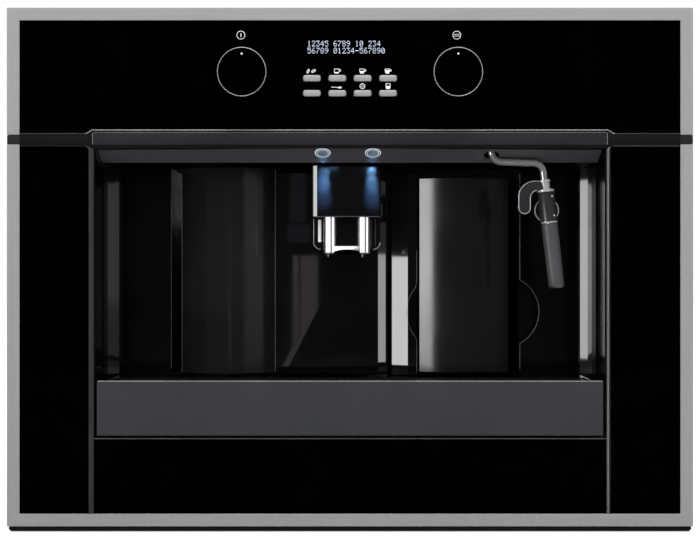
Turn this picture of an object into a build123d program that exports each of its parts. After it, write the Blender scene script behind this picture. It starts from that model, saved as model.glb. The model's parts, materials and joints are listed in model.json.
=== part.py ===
"""Built-in coffee machine on telescopic rails, 45 cm fascia.

Millimetres. X is to the right, +Y is towards the back, +Z is up. The origin is at the
bottom centre of the bounding box. Depths are measured backwards from the front plane,
the face of the stainless trim, and the function behind() turns a depth into Y.
"""
from build123d import *
import math
import os

os.makedirs("parts", exist_ok=True)

# ---------------------------------------------------------------- driving dimensions
WIDTH = 595.0  # fascia, outside the stainless trim
HEIGHT = 455.0  # top of the fascia above the shelf
BODY_DEPTH = 398.0  # front plane to rear panel
KNOB_PROUD = 16.0  # knobs stand this far in front of the front plane
FRONT_Y = KNOB_PROUD - (BODY_DEPTH + KNOB_PROUD) / 2

SHEET = 1.5  # folded steel sheet
GAP = 0.3  # clearance between neighbouring pieces
RUN = 0.1  # radial clearance of a shaft in its bush
SHELF_GAP = 1.0  # fascia above the shelf, so that it can slide

# fascia
TRIM_W = 11.0
TRIM_SHEET = 1.2
TRIM_DEPTH = 18.0
STRIP_TOP = 4.9  # dark plastic strip under the trim
BAND_Z = (HEIGHT - 118.1, HEIGHT - 110.6)  # dark band, between the two trims
BAND_WING_Z = (HEIGHT - 120.3, HEIGHT - 108.9)  # the same band between the glasses
BAND_MID_Z = (HEIGHT - 121.8, HEIGHT - 105.2)  # and across the niche
BAND_STEP_W = 5.5
BAND_PROUD = 1.5
BAND_DEPTH = 4.4
GLASS_FRONT = 0.5
GLASS = 4.0
GLASS_BACK = GLASS_FRONT + GLASS
CARRIER = 3.0
CARRIER_FRONT = GLASS_BACK + 0.1
CARRIER_BACK = CARRIER_FRONT + CARRIER
LOWER_GLASS_TOP = 81.2
SIDE_MARGIN = 75.9  # fascia beside the niche

# niche
NICHE_HALF = WIDTH / 2 - SIDE_MARGIN  # inner face of each side wall
NICHE_DEPTH = 130.0
LINER = 2.0
LINER_CORNER = 10.0
CEILING_FRONT_Z = BAND_MID_Z[0] - 0.2
CEILING_Z = CEILING_FRONT_Z - 8.8
CEILING = 3.0
APRON_START = 6.0  # the ceiling's sloping front, which holds the lamps
APRON_END = 24.7
APRON_Z = CEILING_FRONT_Z - 10.8
APRON_LIP = 2.0
APRON = 2.4  # its thickness, measured upright
EDGE_STRIP_W = 3.5

# machine body and rails
BODY_MARGIN = 32.5  # fascia beyond the body, in front of the rails and the cupboard's side
BODY_HALF = WIDTH / 2 - BODY_MARGIN
PAN_Z = 12.0
BODY_TOP = HEIGHT - 15.0
BODY_START = 20.0
DECK_TOP = 128.0
RAIL_SPACE = 12.5  # beside each body side, for the rail
RAIL_Z = (6.0, 46.0)
RAIL_LENGTH = 350.0
RAIL_START = 40.0
RAIL_FLANGE = 8.0
PLATE_START = 30.0
PLATE_END = 395.0
PLATE_FLANGE_TOP = 48.0
BASE_HOLE_X = 460.0  # fixing holes, centre to centre
BASE_HOLE_Y = 270.0
BASE_HOLE_R = 2.5
BASE_HOLE_DEPTH = 212.0  # centre of the pattern, behind the front plane

# controls
KNOB_X = 92.9
CONTROL_Z = HEIGHT - 54.8
KNOB_Z = CONTROL_Z - 2.6
KNOB_R = 21.2
KNOB_LIFT = 0.7  # under the knob, above the glass
SHAFT_R = 3.0
SHAFT_END = 15.0
BOARD_DEPTH = 18.0
BOARD = 1.6
KEY_W = 15.5
KEY_H = 5.5
KEY_CORNER = 1.8
KEY_PITCH_X = 22.0
KEY_ROWS = (CONTROL_Z - 6.5, CONTROL_Z - 19.5)
KEY_PROUD = 1.5
KEY_FLANGE = 1.2
KEY_TRAVEL = 1.0
KEYPAD_DEPTH = 10.0
KEYPAD_HALF_W = 48.0
DISPLAY_HALF_W = 39.0
DISPLAY_Z = (CONTROL_Z + 9.8, CONTROL_Z + 30.8)

# service door, hinged at its left edge
DOOR_X = (-156.5, 33.0)
DOOR_Z = (DECK_TOP + 4.3, APRON_Z - 0.6)
DOOR_FACE = 105.0  # depth of the flat centre
DOOR_BACK = 118.0
DOOR_BULGE_END = -70.0
DOOR_BULGE = 22.0
DOOR_WALL = 3.0
DOOR_EDGE_R = 7.0
DOOR_GAP = 12.8  # from the left wall's end to the door
HINGE_X = -152.0
HINGE_DEPTH = 113.0
HINGE_R = 2.0
CONTAINER_X = (-146.0, -68.0)
CONTAINER_END = 193.0
CONTAINER_Z = (DECK_TOP + 12, CEILING_Z - 56.2)
CONTAINER_WALL = 2.0

# coffee spout on the door
SPOUT_X = -2.8
SPOUT_W = 60.6
SPOUT_FRONT = 40.0
SPOUT_Z = (CEILING_Z - 49.4, CEILING_Z - 3.2)
NOZZLE_R = 5.5
NOZZLE_WALL = 1.2
NOZZLE_SPACING = 30.8
NOZZLE_BOTTOM = SPOUT_Z[0] - 32.9
NOZZLE_DEPTH = 54.0
SHROUD_FRONT = 62.0
SHROUD_BOTTOM = SPOUT_Z[0] - 29.3
SHROUD_WALL = 2.5
SHROUD_CORNER_R = 7.0
SPOUT_RAIL_W = 20.0
SPOUT_RAIL = 8.0

# centre pillar and water tank
PILLAR_X = (38.6, 62.6)
PILLAR_FRONT = 100.0
TANK_X = (64.0, 146.4)
TANK_FACE = 97.0
TANK_BULGE = 12.0
TANK_END = 280.0
TANK_Z = (DECK_TOP + 5, CEILING_Z - 18.2)
TANK_FRONT_TOP = TANK_Z[1] + 6.3
TANK_WALL = 2.5
TANK_BAY_RIGHT = 160.8
SCOOP_Z = DECK_TOP + 60
SCOOP_R = 34.0
SCOOP_X = 145.0
SCOOP_DEPTH = 18.0
SCOOP_LEFT_R = 36.0
SCOOP_LEFT_X = 88.8

# drip tray
TRAY_HALF = NICHE_HALF - 2.0
TRAY_Z = (83.8, 131.3)
TRAY_FRONT = 12.0
TUB_HALF = NICHE_HALF - 5.6
TUB_END = 126.0
TUB_Z = (86.0, 129.0)
TUB_WALL = 2.0
GRID_END = 78.0
GRID_TOP = 128.0
GRID = 1.5
GRID_SLOT_W = 3.0
GRID_SLOT_PITCH = 7.0
GRID_ROWS = 3

# steam wand
WAND_X = 124.1
WAND_DEPTH = 16.0
WAND_TUBE_R = 3.0
WAND_ARM_Z = CEILING_Z - 1.9
WAND_LEAN = 6.5
WAND_TOP = (171.5, WAND_ARM_Z - 25.3)  # X and Z of the collar's top centre
WAND_BEND_R = 9.0
SOCKET_R = 6.8
SOCKET_LENGTH = 12.0
SOCKET_RIM = 1.2
COLLAR_R = 7.4
COLLAR_LENGTH = 28.6
SLEEVE_R = 7.2
SLEEVE_LENGTH = 57.0
SLEEVE_WALL = 2.0
TIP_LENGTH = 34.0
HOOK_LEFT = 147.0
HOOK_TIP_W = 11.5
HOOK_TIP_Z = WAND_TOP[1] - 21.0
HOOK_TOP_Z = WAND_TOP[1] + 9.0
HOOK_THICK = 7.0
DIAL_R = 11.0
DIAL = 4.0

# bean hopper in the top, inlet and switch in the rear panel
HOPPER_X = (-150.0, -30.0)
HOPPER_DEPTH = (205.0, 325.0)
HOPPER_BOTTOM = BODY_TOP - 62.0
HOPPER_WALL = 2.0
LID = 3.0
LID_OVERLAP = 5.0
GRINDER_R = 40.0
GRIND_KNOB_R = 14.0
GRIND_KNOB_X = 5.0
INLET_X = BODY_HALF - 50.0
INLET_Z = 150.0
INLET_W = 27.0
INLET_H = 20.0
SWITCH_X = BODY_HALF - 100.0
SWITCH_W = 13.0
SWITCH_H = 9.4  # of the window in the rear panel
SWITCH_R = 9.3
SWITCH_AXIS = BODY_DEPTH - SWITCH_R - 0.2


# ---------------------------------------------------------------- helpers
def behind(depth):
    """Y of a point that lies this far behind the front plane."""
    return FRONT_Y + depth


def facing(depth):
    """A plane seen from the front: its x is X, its y is Z, its normal is towards -Y."""
    return Plane(origin=(0, behind(depth), 0), x_dir=(1, 0, 0), z_dir=(0, -1, 0))


def block(x, depth, z, mode=Mode.ADD):
    """A box from its limits in X, in depth and in Z, in the part being built."""
    with Locations((sum(x) / 2, behind(sum(depth) / 2), sum(z) / 2)):
        Box(x[1] - x[0], depth[1] - depth[0], z[1] - z[0], mode=mode)


def both_sides(x):
    """The same X limits on the right and, mirrored, on the left."""
    return [x, (-x[1], -x[0])]


def drilled(x, z, radius, depth, mode=Mode.SUBTRACT):
    """A round bar or hole along Y, between two depths."""
    with BuildSketch(facing(depth[0])) as disc:
        with Locations((x, z)):
            Circle(radius)
    extrude(disc.sketch, amount=depth[0] - depth[1], mode=mode)


def upright(x, depth, radius, z, mode=Mode.ADD):
    """A round bar or hole along Z, between two heights."""
    with BuildSketch(Plane.XY.offset(z[0])) as disc:
        with Locations((x, behind(depth))):
            Circle(radius)
    extrude(disc.sketch, amount=z[1] - z[0], mode=mode)


def save(builder, name):
    """Label a finished piece and write its STEP file."""
    builder.part.label = name
    export_step(builder.part, f"parts/{name}.step")


def band_outline(grow):
    """The front outline of the dark band, grown by a clearance, as corner points."""
    half = WIDTH / 2 - GAP + grow
    wing = WIDTH / 2 - TRIM_W - GAP + grow
    mid = NICHE_HALF + grow
    step = mid + BAND_STEP_W
    low, high = BAND_Z[0] - grow, BAND_Z[1] + grow
    wing_low, wing_high = BAND_WING_Z[0] - grow, BAND_WING_Z[1] + grow
    mid_low, mid_high = BAND_MID_Z[0] - grow, BAND_MID_Z[1] + grow
    right = [(mid, mid_low), (step, wing_low), (wing, wing_low), (wing, low), (half, low),
             (half, high), (wing, high), (wing, wing_high), (step, wing_high), (mid, mid_high)]
    left = [(-x, z) for x, z in reversed(right)]
    return right + left


# ---------------------------------------------------------------- base and rails
with BuildPart() as base_plate:
    plate_half = BODY_HALF + RAIL_SPACE + SHEET
    block((-plate_half, plate_half), (PLATE_START, PLATE_END), (0, SHEET))
    for side in both_sides((plate_half - SHEET, plate_half)):
        block(side, (PLATE_START, PLATE_END), (SHEET, PLATE_FLANGE_TOP))
    with Locations((0, behind(BASE_HOLE_DEPTH), 0)):
        with GridLocations(BASE_HOLE_X, BASE_HOLE_Y, 2, 2):
            Cylinder(BASE_HOLE_R, 4 * SHEET, mode=Mode.SUBTRACT)
save(base_plate, "base_plate")


def channel(web, flanges, z):
    """One rail member on each side: a web and two flanges, from X and Z limits."""
    run = (RAIL_START, RAIL_START + RAIL_LENGTH)
    for side in both_sides(web):
        block(side, run, z)
    for side in both_sides(flanges):
        block(side, run, (z[0], z[0] + SHEET))
        block(side, run, (z[1] - SHEET, z[1]))


rail_wall = BODY_HALF + RAIL_SPACE
outer_web = (rail_wall - SHEET, rail_wall)
middle_web = (outer_web[0] - GAP - SHEET, outer_web[0] - GAP)
middle_z = (RAIL_Z[0] + SHEET + GAP, RAIL_Z[1] - SHEET - GAP)
inner_web = (BODY_HALF, BODY_HALF + SHEET)
inner_z = (middle_z[0] + SHEET + GAP, middle_z[1] - SHEET - GAP)

with BuildPart() as outer_rails:
    channel(outer_web, (outer_web[0] - RAIL_FLANGE, outer_web[0]), RAIL_Z)
save(outer_rails, "outer_rails")

with BuildPart() as middle_rails:
    channel(middle_web, (middle_web[0] - RAIL_FLANGE + SHEET, middle_web[0]), middle_z)
save(middle_rails, "middle_rails")

with BuildPart() as inner_rails:
    channel(inner_web, (inner_web[1], middle_web[0] - GAP), inner_z)
save(inner_rails, "inner_rails")

# ---------------------------------------------------------------- sheet metal body
pan_half = BODY_HALF - SHEET
with BuildPart() as chassis_pan:
    block((-pan_half, pan_half), (BODY_START, BODY_DEPTH - SHEET), (PAN_Z, PAN_Z + SHEET))
    front_half = pan_half - CARRIER - 2 * GAP
    block((-front_half, front_half), (BODY_START, BODY_START + SHEET), (PAN_Z + SHEET, LOWER_GLASS_TOP))
    vents_x = BODY_HALF - 115
    for x in (-vents_x, 0, vents_x):
        with Locations((x, behind(BODY_DEPTH / 2), PAN_Z)):
            with GridLocations(16, 12, 5, 12):
                Box(10, 4, 4 * SHEET, mode=Mode.SUBTRACT)
save(chassis_pan, "chassis_pan")

with BuildPart() as side_panels:
    for side in both_sides((pan_half, BODY_HALF)):
        block(side, (BODY_START, BODY_DEPTH), (PAN_Z, BODY_TOP))
    with BuildSketch(Plane.YZ):
        with Locations((behind(BODY_DEPTH * 0.62), BODY_TOP - 60)):
            with GridLocations(24, 10, 6, 5):
                SlotOverall(18, 4)
    extrude(amount=WIDTH, both=True, mode=Mode.SUBTRACT)
save(side_panels, "side_panels")

with BuildPart() as rear_panel:
    block((-pan_half, pan_half), (BODY_DEPTH - SHEET, BODY_DEPTH), (PAN_Z, BODY_TOP))
    for x, w, h in ((INLET_X, INLET_W, INLET_H), (SWITCH_X, SWITCH_W, SWITCH_H)):
        wide = w / 2 + GAP
        tall = h / 2 + GAP
        block((x - wide, x + wide), (BODY_DEPTH - 9, BODY_DEPTH + 9),
              (INLET_Z - tall, INLET_Z + tall), Mode.SUBTRACT)
    with BuildSketch(facing(BODY_DEPTH)):
        with Locations((-90, BODY_TOP - 120)):
            with GridLocations(24, 12, 8, 7):
                SlotOverall(18, 4)
    extrude(amount=3 * SHEET, both=True, mode=Mode.SUBTRACT)
save(rear_panel, "rear_panel")

with BuildPart() as top_cover:
    block((-BODY_HALF, BODY_HALF), (BODY_START, BODY_DEPTH), (BODY_TOP, BODY_TOP + SHEET))
    block(HOPPER_X, HOPPER_DEPTH, (BODY_TOP - 9, BODY_TOP + 9), Mode.SUBTRACT)
    upright(GRIND_KNOB_X, sum(HOPPER_DEPTH) / 2, SHAFT_R + RUN, (BODY_TOP - 9, BODY_TOP + 9), Mode.SUBTRACT)
save(top_cover, "top_cover")

# ---------------------------------------------------------------- fascia
inner_half = WIDTH / 2 - TRIM_W
glass_half = inner_half - GAP

with BuildPart() as upper_trim:
    top = (BAND_Z[1] + GAP, HEIGHT)
    block((-WIDTH / 2, WIDTH / 2), (0, TRIM_DEPTH), top)
    block((-inner_half, inner_half), (-1, TRIM_SHEET + 1), (0, HEIGHT - TRIM_W), Mode.SUBTRACT)
    wall = WIDTH / 2 - TRIM_SHEET
    block((-wall, wall), (TRIM_SHEET, TRIM_DEPTH + 1), (0, HEIGHT - TRIM_SHEET), Mode.SUBTRACT)
save(upper_trim, "upper_trim")

with BuildPart() as lower_trim:
    bottom = (STRIP_TOP + GAP, BAND_Z[0] - GAP)
    bar_top = STRIP_TOP + GAP + TRIM_W
    block((-WIDTH / 2, WIDTH / 2), (0, TRIM_DEPTH), bottom)
    block((-inner_half, inner_half), (-1, TRIM_SHEET + 1), (bar_top, HEIGHT), Mode.SUBTRACT)
    block((-wall, wall), (TRIM_SHEET, TRIM_DEPTH + 1), (bottom[0] + TRIM_SHEET, HEIGHT), Mode.SUBTRACT)
save(lower_trim, "lower_trim")

with BuildPart() as centre_band:
    with BuildSketch(facing(-BAND_PROUD)):
        with BuildLine():
            Polyline(*band_outline(0), close=True)
        make_face()
    extrude(amount=-BAND_PROUD - BAND_DEPTH)
save(centre_band, "centre_band")

with BuildPart() as bottom_strip:
    with BuildSketch(facing(GLASS_FRONT)):
        with Locations((0, (SHELF_GAP + STRIP_TOP) / 2)):
            Rectangle(WIDTH - 3, STRIP_TOP - SHELF_GAP)
    extrude(amount=-TRIM_DEPTH)
    fillet(bottom_strip.edges().filter_by(Axis.Y).group_by(Axis.Z)[0], 3)
save(bottom_strip, "bottom_strip")

with BuildPart() as control_glass:
    block((-glass_half, glass_half), (GLASS_FRONT, GLASS_BACK), (BAND_Z[1], HEIGHT - TRIM_W - GAP))
    with BuildSketch(facing(-BAND_PROUD)):
        with BuildLine():
            Polyline(*band_outline(GAP), close=True)
        make_face()
    extrude(amount=-3 * BAND_DEPTH, mode=Mode.SUBTRACT)
    for x in (-KNOB_X, KNOB_X):
        drilled(x, KNOB_Z, SHAFT_R + RUN, (-9, 9))
    with BuildSketch(facing(-1)):
        for row in KEY_ROWS:
            with Locations((0, row)):
                with GridLocations(KEY_PITCH_X, 1, 4, 1):
                    RectangleRounded(KEY_W + 2 * GAP, KEY_H + 2 * GAP, KEY_CORNER + GAP)
    extrude(amount=-9, mode=Mode.SUBTRACT)
save(control_glass, "control_glass")

strip_in = NICHE_HALF + 2 * GAP
strip_out = strip_in + EDGE_STRIP_W
glass_z = (bar_top + GAP, BAND_MID_Z[0] - GAP)
with BuildPart() as side_glasses:
    for side in both_sides((strip_out + GAP, glass_half)):
        block(side, (GLASS_FRONT, GLASS_BACK), (glass_z[0], BAND_WING_Z[0]))
    with BuildSketch(facing(-BAND_PROUD)):
        with BuildLine():
            Polyline(*band_outline(GAP), close=True)
        make_face()
    extrude(amount=-3 * BAND_DEPTH, mode=Mode.SUBTRACT)
save(side_glasses, "side_glasses")

with BuildPart() as niche_edge_strips:
    for side in both_sides((strip_in, strip_out)):
        block(side, (0, GLASS_BACK), glass_z)
save(niche_edge_strips, "niche_edge_strips")

with BuildPart() as lower_glass:
    low_half = strip_in - GAP
    block((-low_half, low_half), (GLASS_FRONT, GLASS_BACK), (bar_top + GAP, LOWER_GLASS_TOP))
save(lower_glass, "lower_glass")

carrier_hole = NICHE_HALF + LINER + GAP
with BuildPart() as front_carrier:
    edge = WIDTH / 2 - TRIM_SHEET - GAP
    block((-edge, edge), (CARRIER_FRONT, CARRIER_BACK), (STRIP_TOP + 2, HEIGHT - TRIM_SHEET - GAP))
    block((-carrier_hole, carrier_hole), (-9, 99), (LOWER_GLASS_TOP + GAP, BAND_MID_Z[0]), Mode.SUBTRACT)
    for side in both_sides((pan_half - CARRIER - GAP, pan_half - GAP)):
        block(side, (CARRIER_BACK, BODY_START + 25), (PAN_Z + 3 * SHEET, BODY_TOP - GAP))
    for x in (-KNOB_X, KNOB_X):
        drilled(x, KNOB_Z, SHAFT_R + RUN, (-9, 30))
    flange_half = KEYPAD_HALF_W - 5
    key_zone = (KEY_ROWS[1] - KEY_H, KEY_ROWS[0] + KEY_H)
    block((-flange_half, flange_half), (-9, 30), key_zone, Mode.SUBTRACT)
    block((-DISPLAY_HALF_W, DISPLAY_HALF_W), (-9, 30), DISPLAY_Z, Mode.SUBTRACT)
save(front_carrier, "front_carrier")

# ---------------------------------------------------------------- niche
LINER_Z = (LOWER_GLASS_TOP + 2 * GAP, CEILING_FRONT_Z - 2)


def liner(sign, back_end):
    """A side wall that turns into the back wall through a round corner, as a plan outline."""
    out = LINER
    with BuildSketch(Plane.XY.offset(LINER_Z[0])) as plan:
        with BuildLine():
            side = sign * NICHE_HALF
            turn = sign * (NICHE_HALF - LINER_CORNER)
            back = behind(NICHE_DEPTH)
            start = behind(CARRIER_FRONT)
            mid_in = sign * (NICHE_HALF - LINER_CORNER * (1 - math.sqrt(0.5)))
            mid_out = mid_in + sign * out * math.sqrt(0.5)
            mid_y = back - LINER_CORNER * (1 - math.sqrt(0.5))
            Polyline((side, back - LINER_CORNER), (side, start), (side + sign * out, start),
                     (side + sign * out, back - LINER_CORNER))
            ThreePointArc((side + sign * out, back - LINER_CORNER),
                          (mid_out, mid_y + out * math.sqrt(0.5)), (turn, back + out))
            Polyline((turn, back + out), (back_end, back + out), (back_end, back), (turn, back))
            ThreePointArc((turn, back), (mid_in, mid_y), (side, back - LINER_CORNER))
        make_face()
    extrude(plan.sketch, amount=LINER_Z[1] - LINER_Z[0])


def clear_ceiling(grow):
    """Cut away what stands in the ceiling's place, with a clearance."""
    with BuildSketch(Plane.YZ) as section:
        with BuildLine():
            Polyline((behind(-9), CEILING_FRONT_Z - grow), (behind(APRON_START), CEILING_FRONT_Z - grow),
                     (behind(APRON_END), APRON_Z - grow), (behind(APRON_END + APRON_LIP), APRON_Z - grow),
                     (behind(APRON_END + APRON_LIP), CEILING_Z - grow), (behind(999), CEILING_Z - grow),
                     (behind(999), HEIGHT), (behind(-9), HEIGHT), close=True)
        make_face()
    extrude(section.sketch, amount=WIDTH, both=True, mode=Mode.SUBTRACT)


with BuildPart() as liner_left:
    liner(-1, DOOR_X[0] - DOOR_GAP)
    lug = (DOOR_X[0] - DOOR_GAP - 3, HINGE_X + 5)
    block(lug, (HINGE_DEPTH - 5, NICHE_DEPTH), (TUB_Z[1] + GAP, DOOR_Z[0] - GAP))
    upright(HINGE_X, HINGE_DEPTH, HINGE_R + RUN, (TUB_Z[1] - 9, DOOR_Z[0] + 9), Mode.SUBTRACT)
    clear_ceiling(GAP)
save(liner_left, "liner_left")

with BuildPart() as liner_right:
    liner(1, TANK_BAY_RIGHT)
    drilled(SCOOP_X, SCOOP_Z, SCOOP_R + LINER, (NICHE_DEPTH, NICHE_DEPTH + SCOOP_DEPTH), Mode.ADD)
    drilled(SCOOP_X, SCOOP_Z, SCOOP_R, (NICHE_DEPTH - 9, NICHE_DEPTH + SCOOP_DEPTH - LINER))
    block((0, TANK_BAY_RIGHT), (NICHE_DEPTH - 9, NICHE_DEPTH + 99), (0, HEIGHT), Mode.SUBTRACT)
    clear_ceiling(GAP)
save(liner_right, "liner_right")

lamp_places = (-23.9, 20.0)
LAMP_R = 6.5
LAMP_DEPTH = 13.5
rise = (CEILING_FRONT_Z - APRON_Z) / (APRON_END - APRON_START)


def apron_z(depth):
    """Height of the sloping front's lower face, this far behind the front plane."""
    return CEILING_FRONT_Z - rise * (depth - APRON_START)


def lamp(x):
    """A plane on the sloping front, facing down and forwards, where a lamp lens sits."""
    return Plane(origin=(x, behind(LAMP_DEPTH), apron_z(LAMP_DEPTH)), x_dir=(1, 0, 0), z_dir=(0, -rise, -1))


with BuildPart() as niche_ceiling:
    front, lip_end = CARRIER_BACK + GAP, APRON_END + APRON_LIP
    with BuildSketch(Plane.YZ):
        with BuildLine():
            Polyline((behind(front), apron_z(front) + APRON), (behind(front), apron_z(front)),
                     (behind(APRON_END), APRON_Z), (behind(lip_end), APRON_Z), (behind(lip_end), CEILING_Z),
                     (behind(NICHE_DEPTH + 20), CEILING_Z), (behind(NICHE_DEPTH + 20), CEILING_Z + CEILING),
                     (behind(lip_end), CEILING_Z + CEILING), (behind(APRON_END), apron_z(APRON_END) + APRON),
                     close=True)
        make_face()
    extrude(amount=NICHE_HALF - GAP, both=True)
    for x in lamp_places:
        with BuildSketch(lamp(x)):
            Circle(LAMP_R + GAP)
        extrude(amount=20, both=True, mode=Mode.SUBTRACT)
    upright(WAND_X, WAND_DEPTH, SOCKET_R + GAP, (APRON_Z - 9, HEIGHT), Mode.SUBTRACT)
    upright(HINGE_X, HINGE_DEPTH, HINGE_R + RUN, (CEILING_Z - 9, HEIGHT), Mode.SUBTRACT)
save(niche_ceiling, "niche_ceiling")

with BuildPart() as lamp_lenses:
    for x in lamp_places:
        with BuildSketch(lamp(x)):
            Circle(LAMP_R)
        extrude(amount=2)
        with BuildSketch(lamp(x)):
            Circle(LAMP_R)
        extrude(amount=-10)
save(lamp_lenses, "lamp_lenses")

with BuildPart() as centre_pillar:
    block(PILLAR_X, (PILLAR_FRONT, NICHE_DEPTH + LINER), (TUB_Z[1] + 3 * GAP, CEILING_Z - GAP))
    fillet(centre_pillar.edges().filter_by(Axis.Z).group_by(Axis.Y)[0], DOOR_EDGE_R)
    drilled(SCOOP_LEFT_X, SCOOP_Z, SCOOP_LEFT_R, (0, NICHE_DEPTH - LINER))
save(centre_pillar, "centre_pillar")

# ---------------------------------------------------------------- inside the body
bed_half = NICHE_HALF - GAP
with BuildPart() as tray_bed:
    bed_top = TUB_Z[0] - GAP
    bed_end = NICHE_DEPTH
    block((-bed_half, bed_half), (TRAY_FRONT + 2, bed_end - GAP), (bed_top - SHEET, bed_top))
    fillet(tray_bed.edges().filter_by(Axis.Z).group_by(Axis.Y)[-1], LINER_CORNER)
    back_half = NICHE_HALF - LINER_CORNER
    block((-back_half, back_half), (bed_end - GAP - SHEET, bed_end - GAP), (bed_top, TUB_Z[1]))
    leg_x = bed_half - 61.3
    for x in (-leg_x, leg_x):
        leg_z = (PAN_Z + SHEET, bed_top - SHEET)
        block((x - 10, x + 10), (TRAY_FRONT + 10, bed_end - GAP), leg_z)
        block((x - 8, x + 8), (TRAY_FRONT + 9, bed_end + 1), (leg_z[0], leg_z[1] - SHEET), Mode.SUBTRACT)
save(tray_bed, "tray_bed")

divider_start = NICHE_DEPTH + LINER + GAP
divider_top = CEILING_Z - GAP
with BuildPart() as inner_frame:
    deck_depth = (divider_start, BODY_DEPTH - SHEET)
    block((-pan_half, pan_half), deck_depth, (DECK_TOP - SHEET, DECK_TOP))
    for x in (-pan_half + 30, 0, pan_half - 30):
        block((x - SHEET / 2, x + SHEET / 2), deck_depth, (PAN_Z + SHEET, DECK_TOP - SHEET))
    left_wall = (DOOR_X[0] - DOOR_GAP - SHEET, DOOR_X[0] - DOOR_GAP)
    centre_wall = (PILLAR_X[1] - SHEET, PILLAR_X[1])
    right_wall = (TANK_BAY_RIGHT, TANK_BAY_RIGHT + SHEET)
    for wall_x in (left_wall, centre_wall, right_wall):
        block(wall_x, (divider_start, TANK_END + 12), (DECK_TOP, divider_top))
    drilled(SCOOP_X, SCOOP_Z, SCOOP_R + LINER + GAP, (NICHE_DEPTH, NICHE_DEPTH + SCOOP_DEPTH + GAP))
    block((TANK_X[0] + 8, TANK_X[1] - 8), (NICHE_DEPTH + 20, TANK_END - 6), (DECK_TOP, TANK_Z[0] - GAP))
    upright(sum(TANK_X) / 2, 240, 12, (DECK_TOP + 2, TANK_Z[0]), Mode.SUBTRACT)
save(inner_frame, "inner_frame")

BREW_X = (-33.0, 36.0)
BREW_DEPTH = (145.0, 232.0)
BREW_BODY_R = 27.0
BREW_NECK_R = 22.0
brew_top = CEILING_Z - 32
body_top = DECK_TOP + 77
with BuildPart() as brew_unit:
    block(BREW_X, (BREW_DEPTH[0] + 25, BREW_DEPTH[1]), (DECK_TOP, brew_top))
    mid_x = sum(BREW_X) / 2
    upright(mid_x, BREW_DEPTH[0] + 30, BREW_BODY_R, (DECK_TOP, body_top))
    upright(mid_x, BREW_DEPTH[0] + 30, BREW_NECK_R, (body_top, brew_top - 30))
    block((mid_x - 8, mid_x + 8), (BREW_DEPTH[0], BREW_DEPTH[0] + 30), (brew_top - 30, brew_top - 10))
    fillet(brew_unit.edges().filter_by(Axis.Z).group_by(Axis.Y)[-1], 8)
save(brew_unit, "brew_unit")

HEATER_X = (-28.0, 34.0)
HEATER_DEPTH = (246.0, 262.0, 282.0, 292.0)
HEATER_H = 112.0
with BuildPart() as thermoblock:
    heater_top = DECK_TOP + HEATER_H
    block(HEATER_X, HEATER_DEPTH[0:2], (DECK_TOP, heater_top))
    block(HEATER_X, HEATER_DEPTH[1:3], (DECK_TOP + 20, heater_top))
    block((HEATER_X[0] + 8, HEATER_X[1] - 8), HEATER_DEPTH[2:4], (DECK_TOP, heater_top - 14))
    drilled(sum(HEATER_X) / 2, heater_top - 35, 6, (HEATER_DEPTH[2], HEATER_DEPTH[3] + 10), Mode.ADD)
save(thermoblock, "thermoblock")

PUMP_R = 23.0
PUMP_FOOT = 6.0
PUMP_AXIS = DECK_TOP + PUMP_R + 5
with BuildPart() as water_pump:
    pump_x = sum(TANK_X) / 2
    block((pump_x - 27, pump_x + 27), (TANK_END + 20, TANK_END + 80), (DECK_TOP, DECK_TOP + PUMP_FOOT))
    drilled(pump_x, PUMP_AXIS, PUMP_R, (TANK_END + 22, TANK_END + 60), Mode.ADD)
    drilled(pump_x, PUMP_AXIS, 10, (TANK_END + 60, TANK_END + 92), Mode.ADD)
    block((pump_x - 10, pump_x + 10), (TANK_END + 24, TANK_END + 58),
          (DECK_TOP + PUMP_FOOT - 1, PUMP_AXIS - PUMP_R + 7))
save(water_pump, "water_pump")

hopper_mid_x = sum(HOPPER_X) / 2
hopper_mid = sum(HOPPER_DEPTH) / 2
with BuildPart() as grinder:
    motor, burrs, neck = (HOPPER_BOTTOM - drop for drop in (168, 78, 26))
    for dx, dd in ((-26, -26), (26, -26), (0, 30)):
        upright(hopper_mid_x + dx, hopper_mid + dd, 5, (DECK_TOP, motor))
    upright(hopper_mid_x, hopper_mid, GRINDER_R - 4, (motor, burrs))
    upright(hopper_mid_x, hopper_mid, GRINDER_R + 4, (burrs, neck))
    upright(hopper_mid_x, hopper_mid, GRINDER_R - 12, (neck, HOPPER_BOTTOM - GAP))
    block((hopper_mid_x + 30, BREW_X[0] + 20), (hopper_mid - 9, hopper_mid + 9), (burrs + 12, burrs + 40))
save(grinder, "grinder")

with BuildPart() as bean_hopper:
    wall = HOPPER_WALL
    x0, x1 = HOPPER_X[0] + GAP, HOPPER_X[1] - GAP
    d0, d1 = HOPPER_DEPTH[0] + GAP, HOPPER_DEPTH[1] - GAP
    block((x0, x1), (d0, d1), (HOPPER_BOTTOM, BODY_TOP + SHEET))
    block((x0 + wall, x1 - wall), (d0 + wall, d1 - wall), (HOPPER_BOTTOM + wall, HEIGHT), Mode.SUBTRACT)
    upright(hopper_mid_x, hopper_mid, 20, (HOPPER_BOTTOM - 1, HOPPER_BOTTOM + 9), Mode.SUBTRACT)
save(bean_hopper, "bean_hopper")

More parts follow.
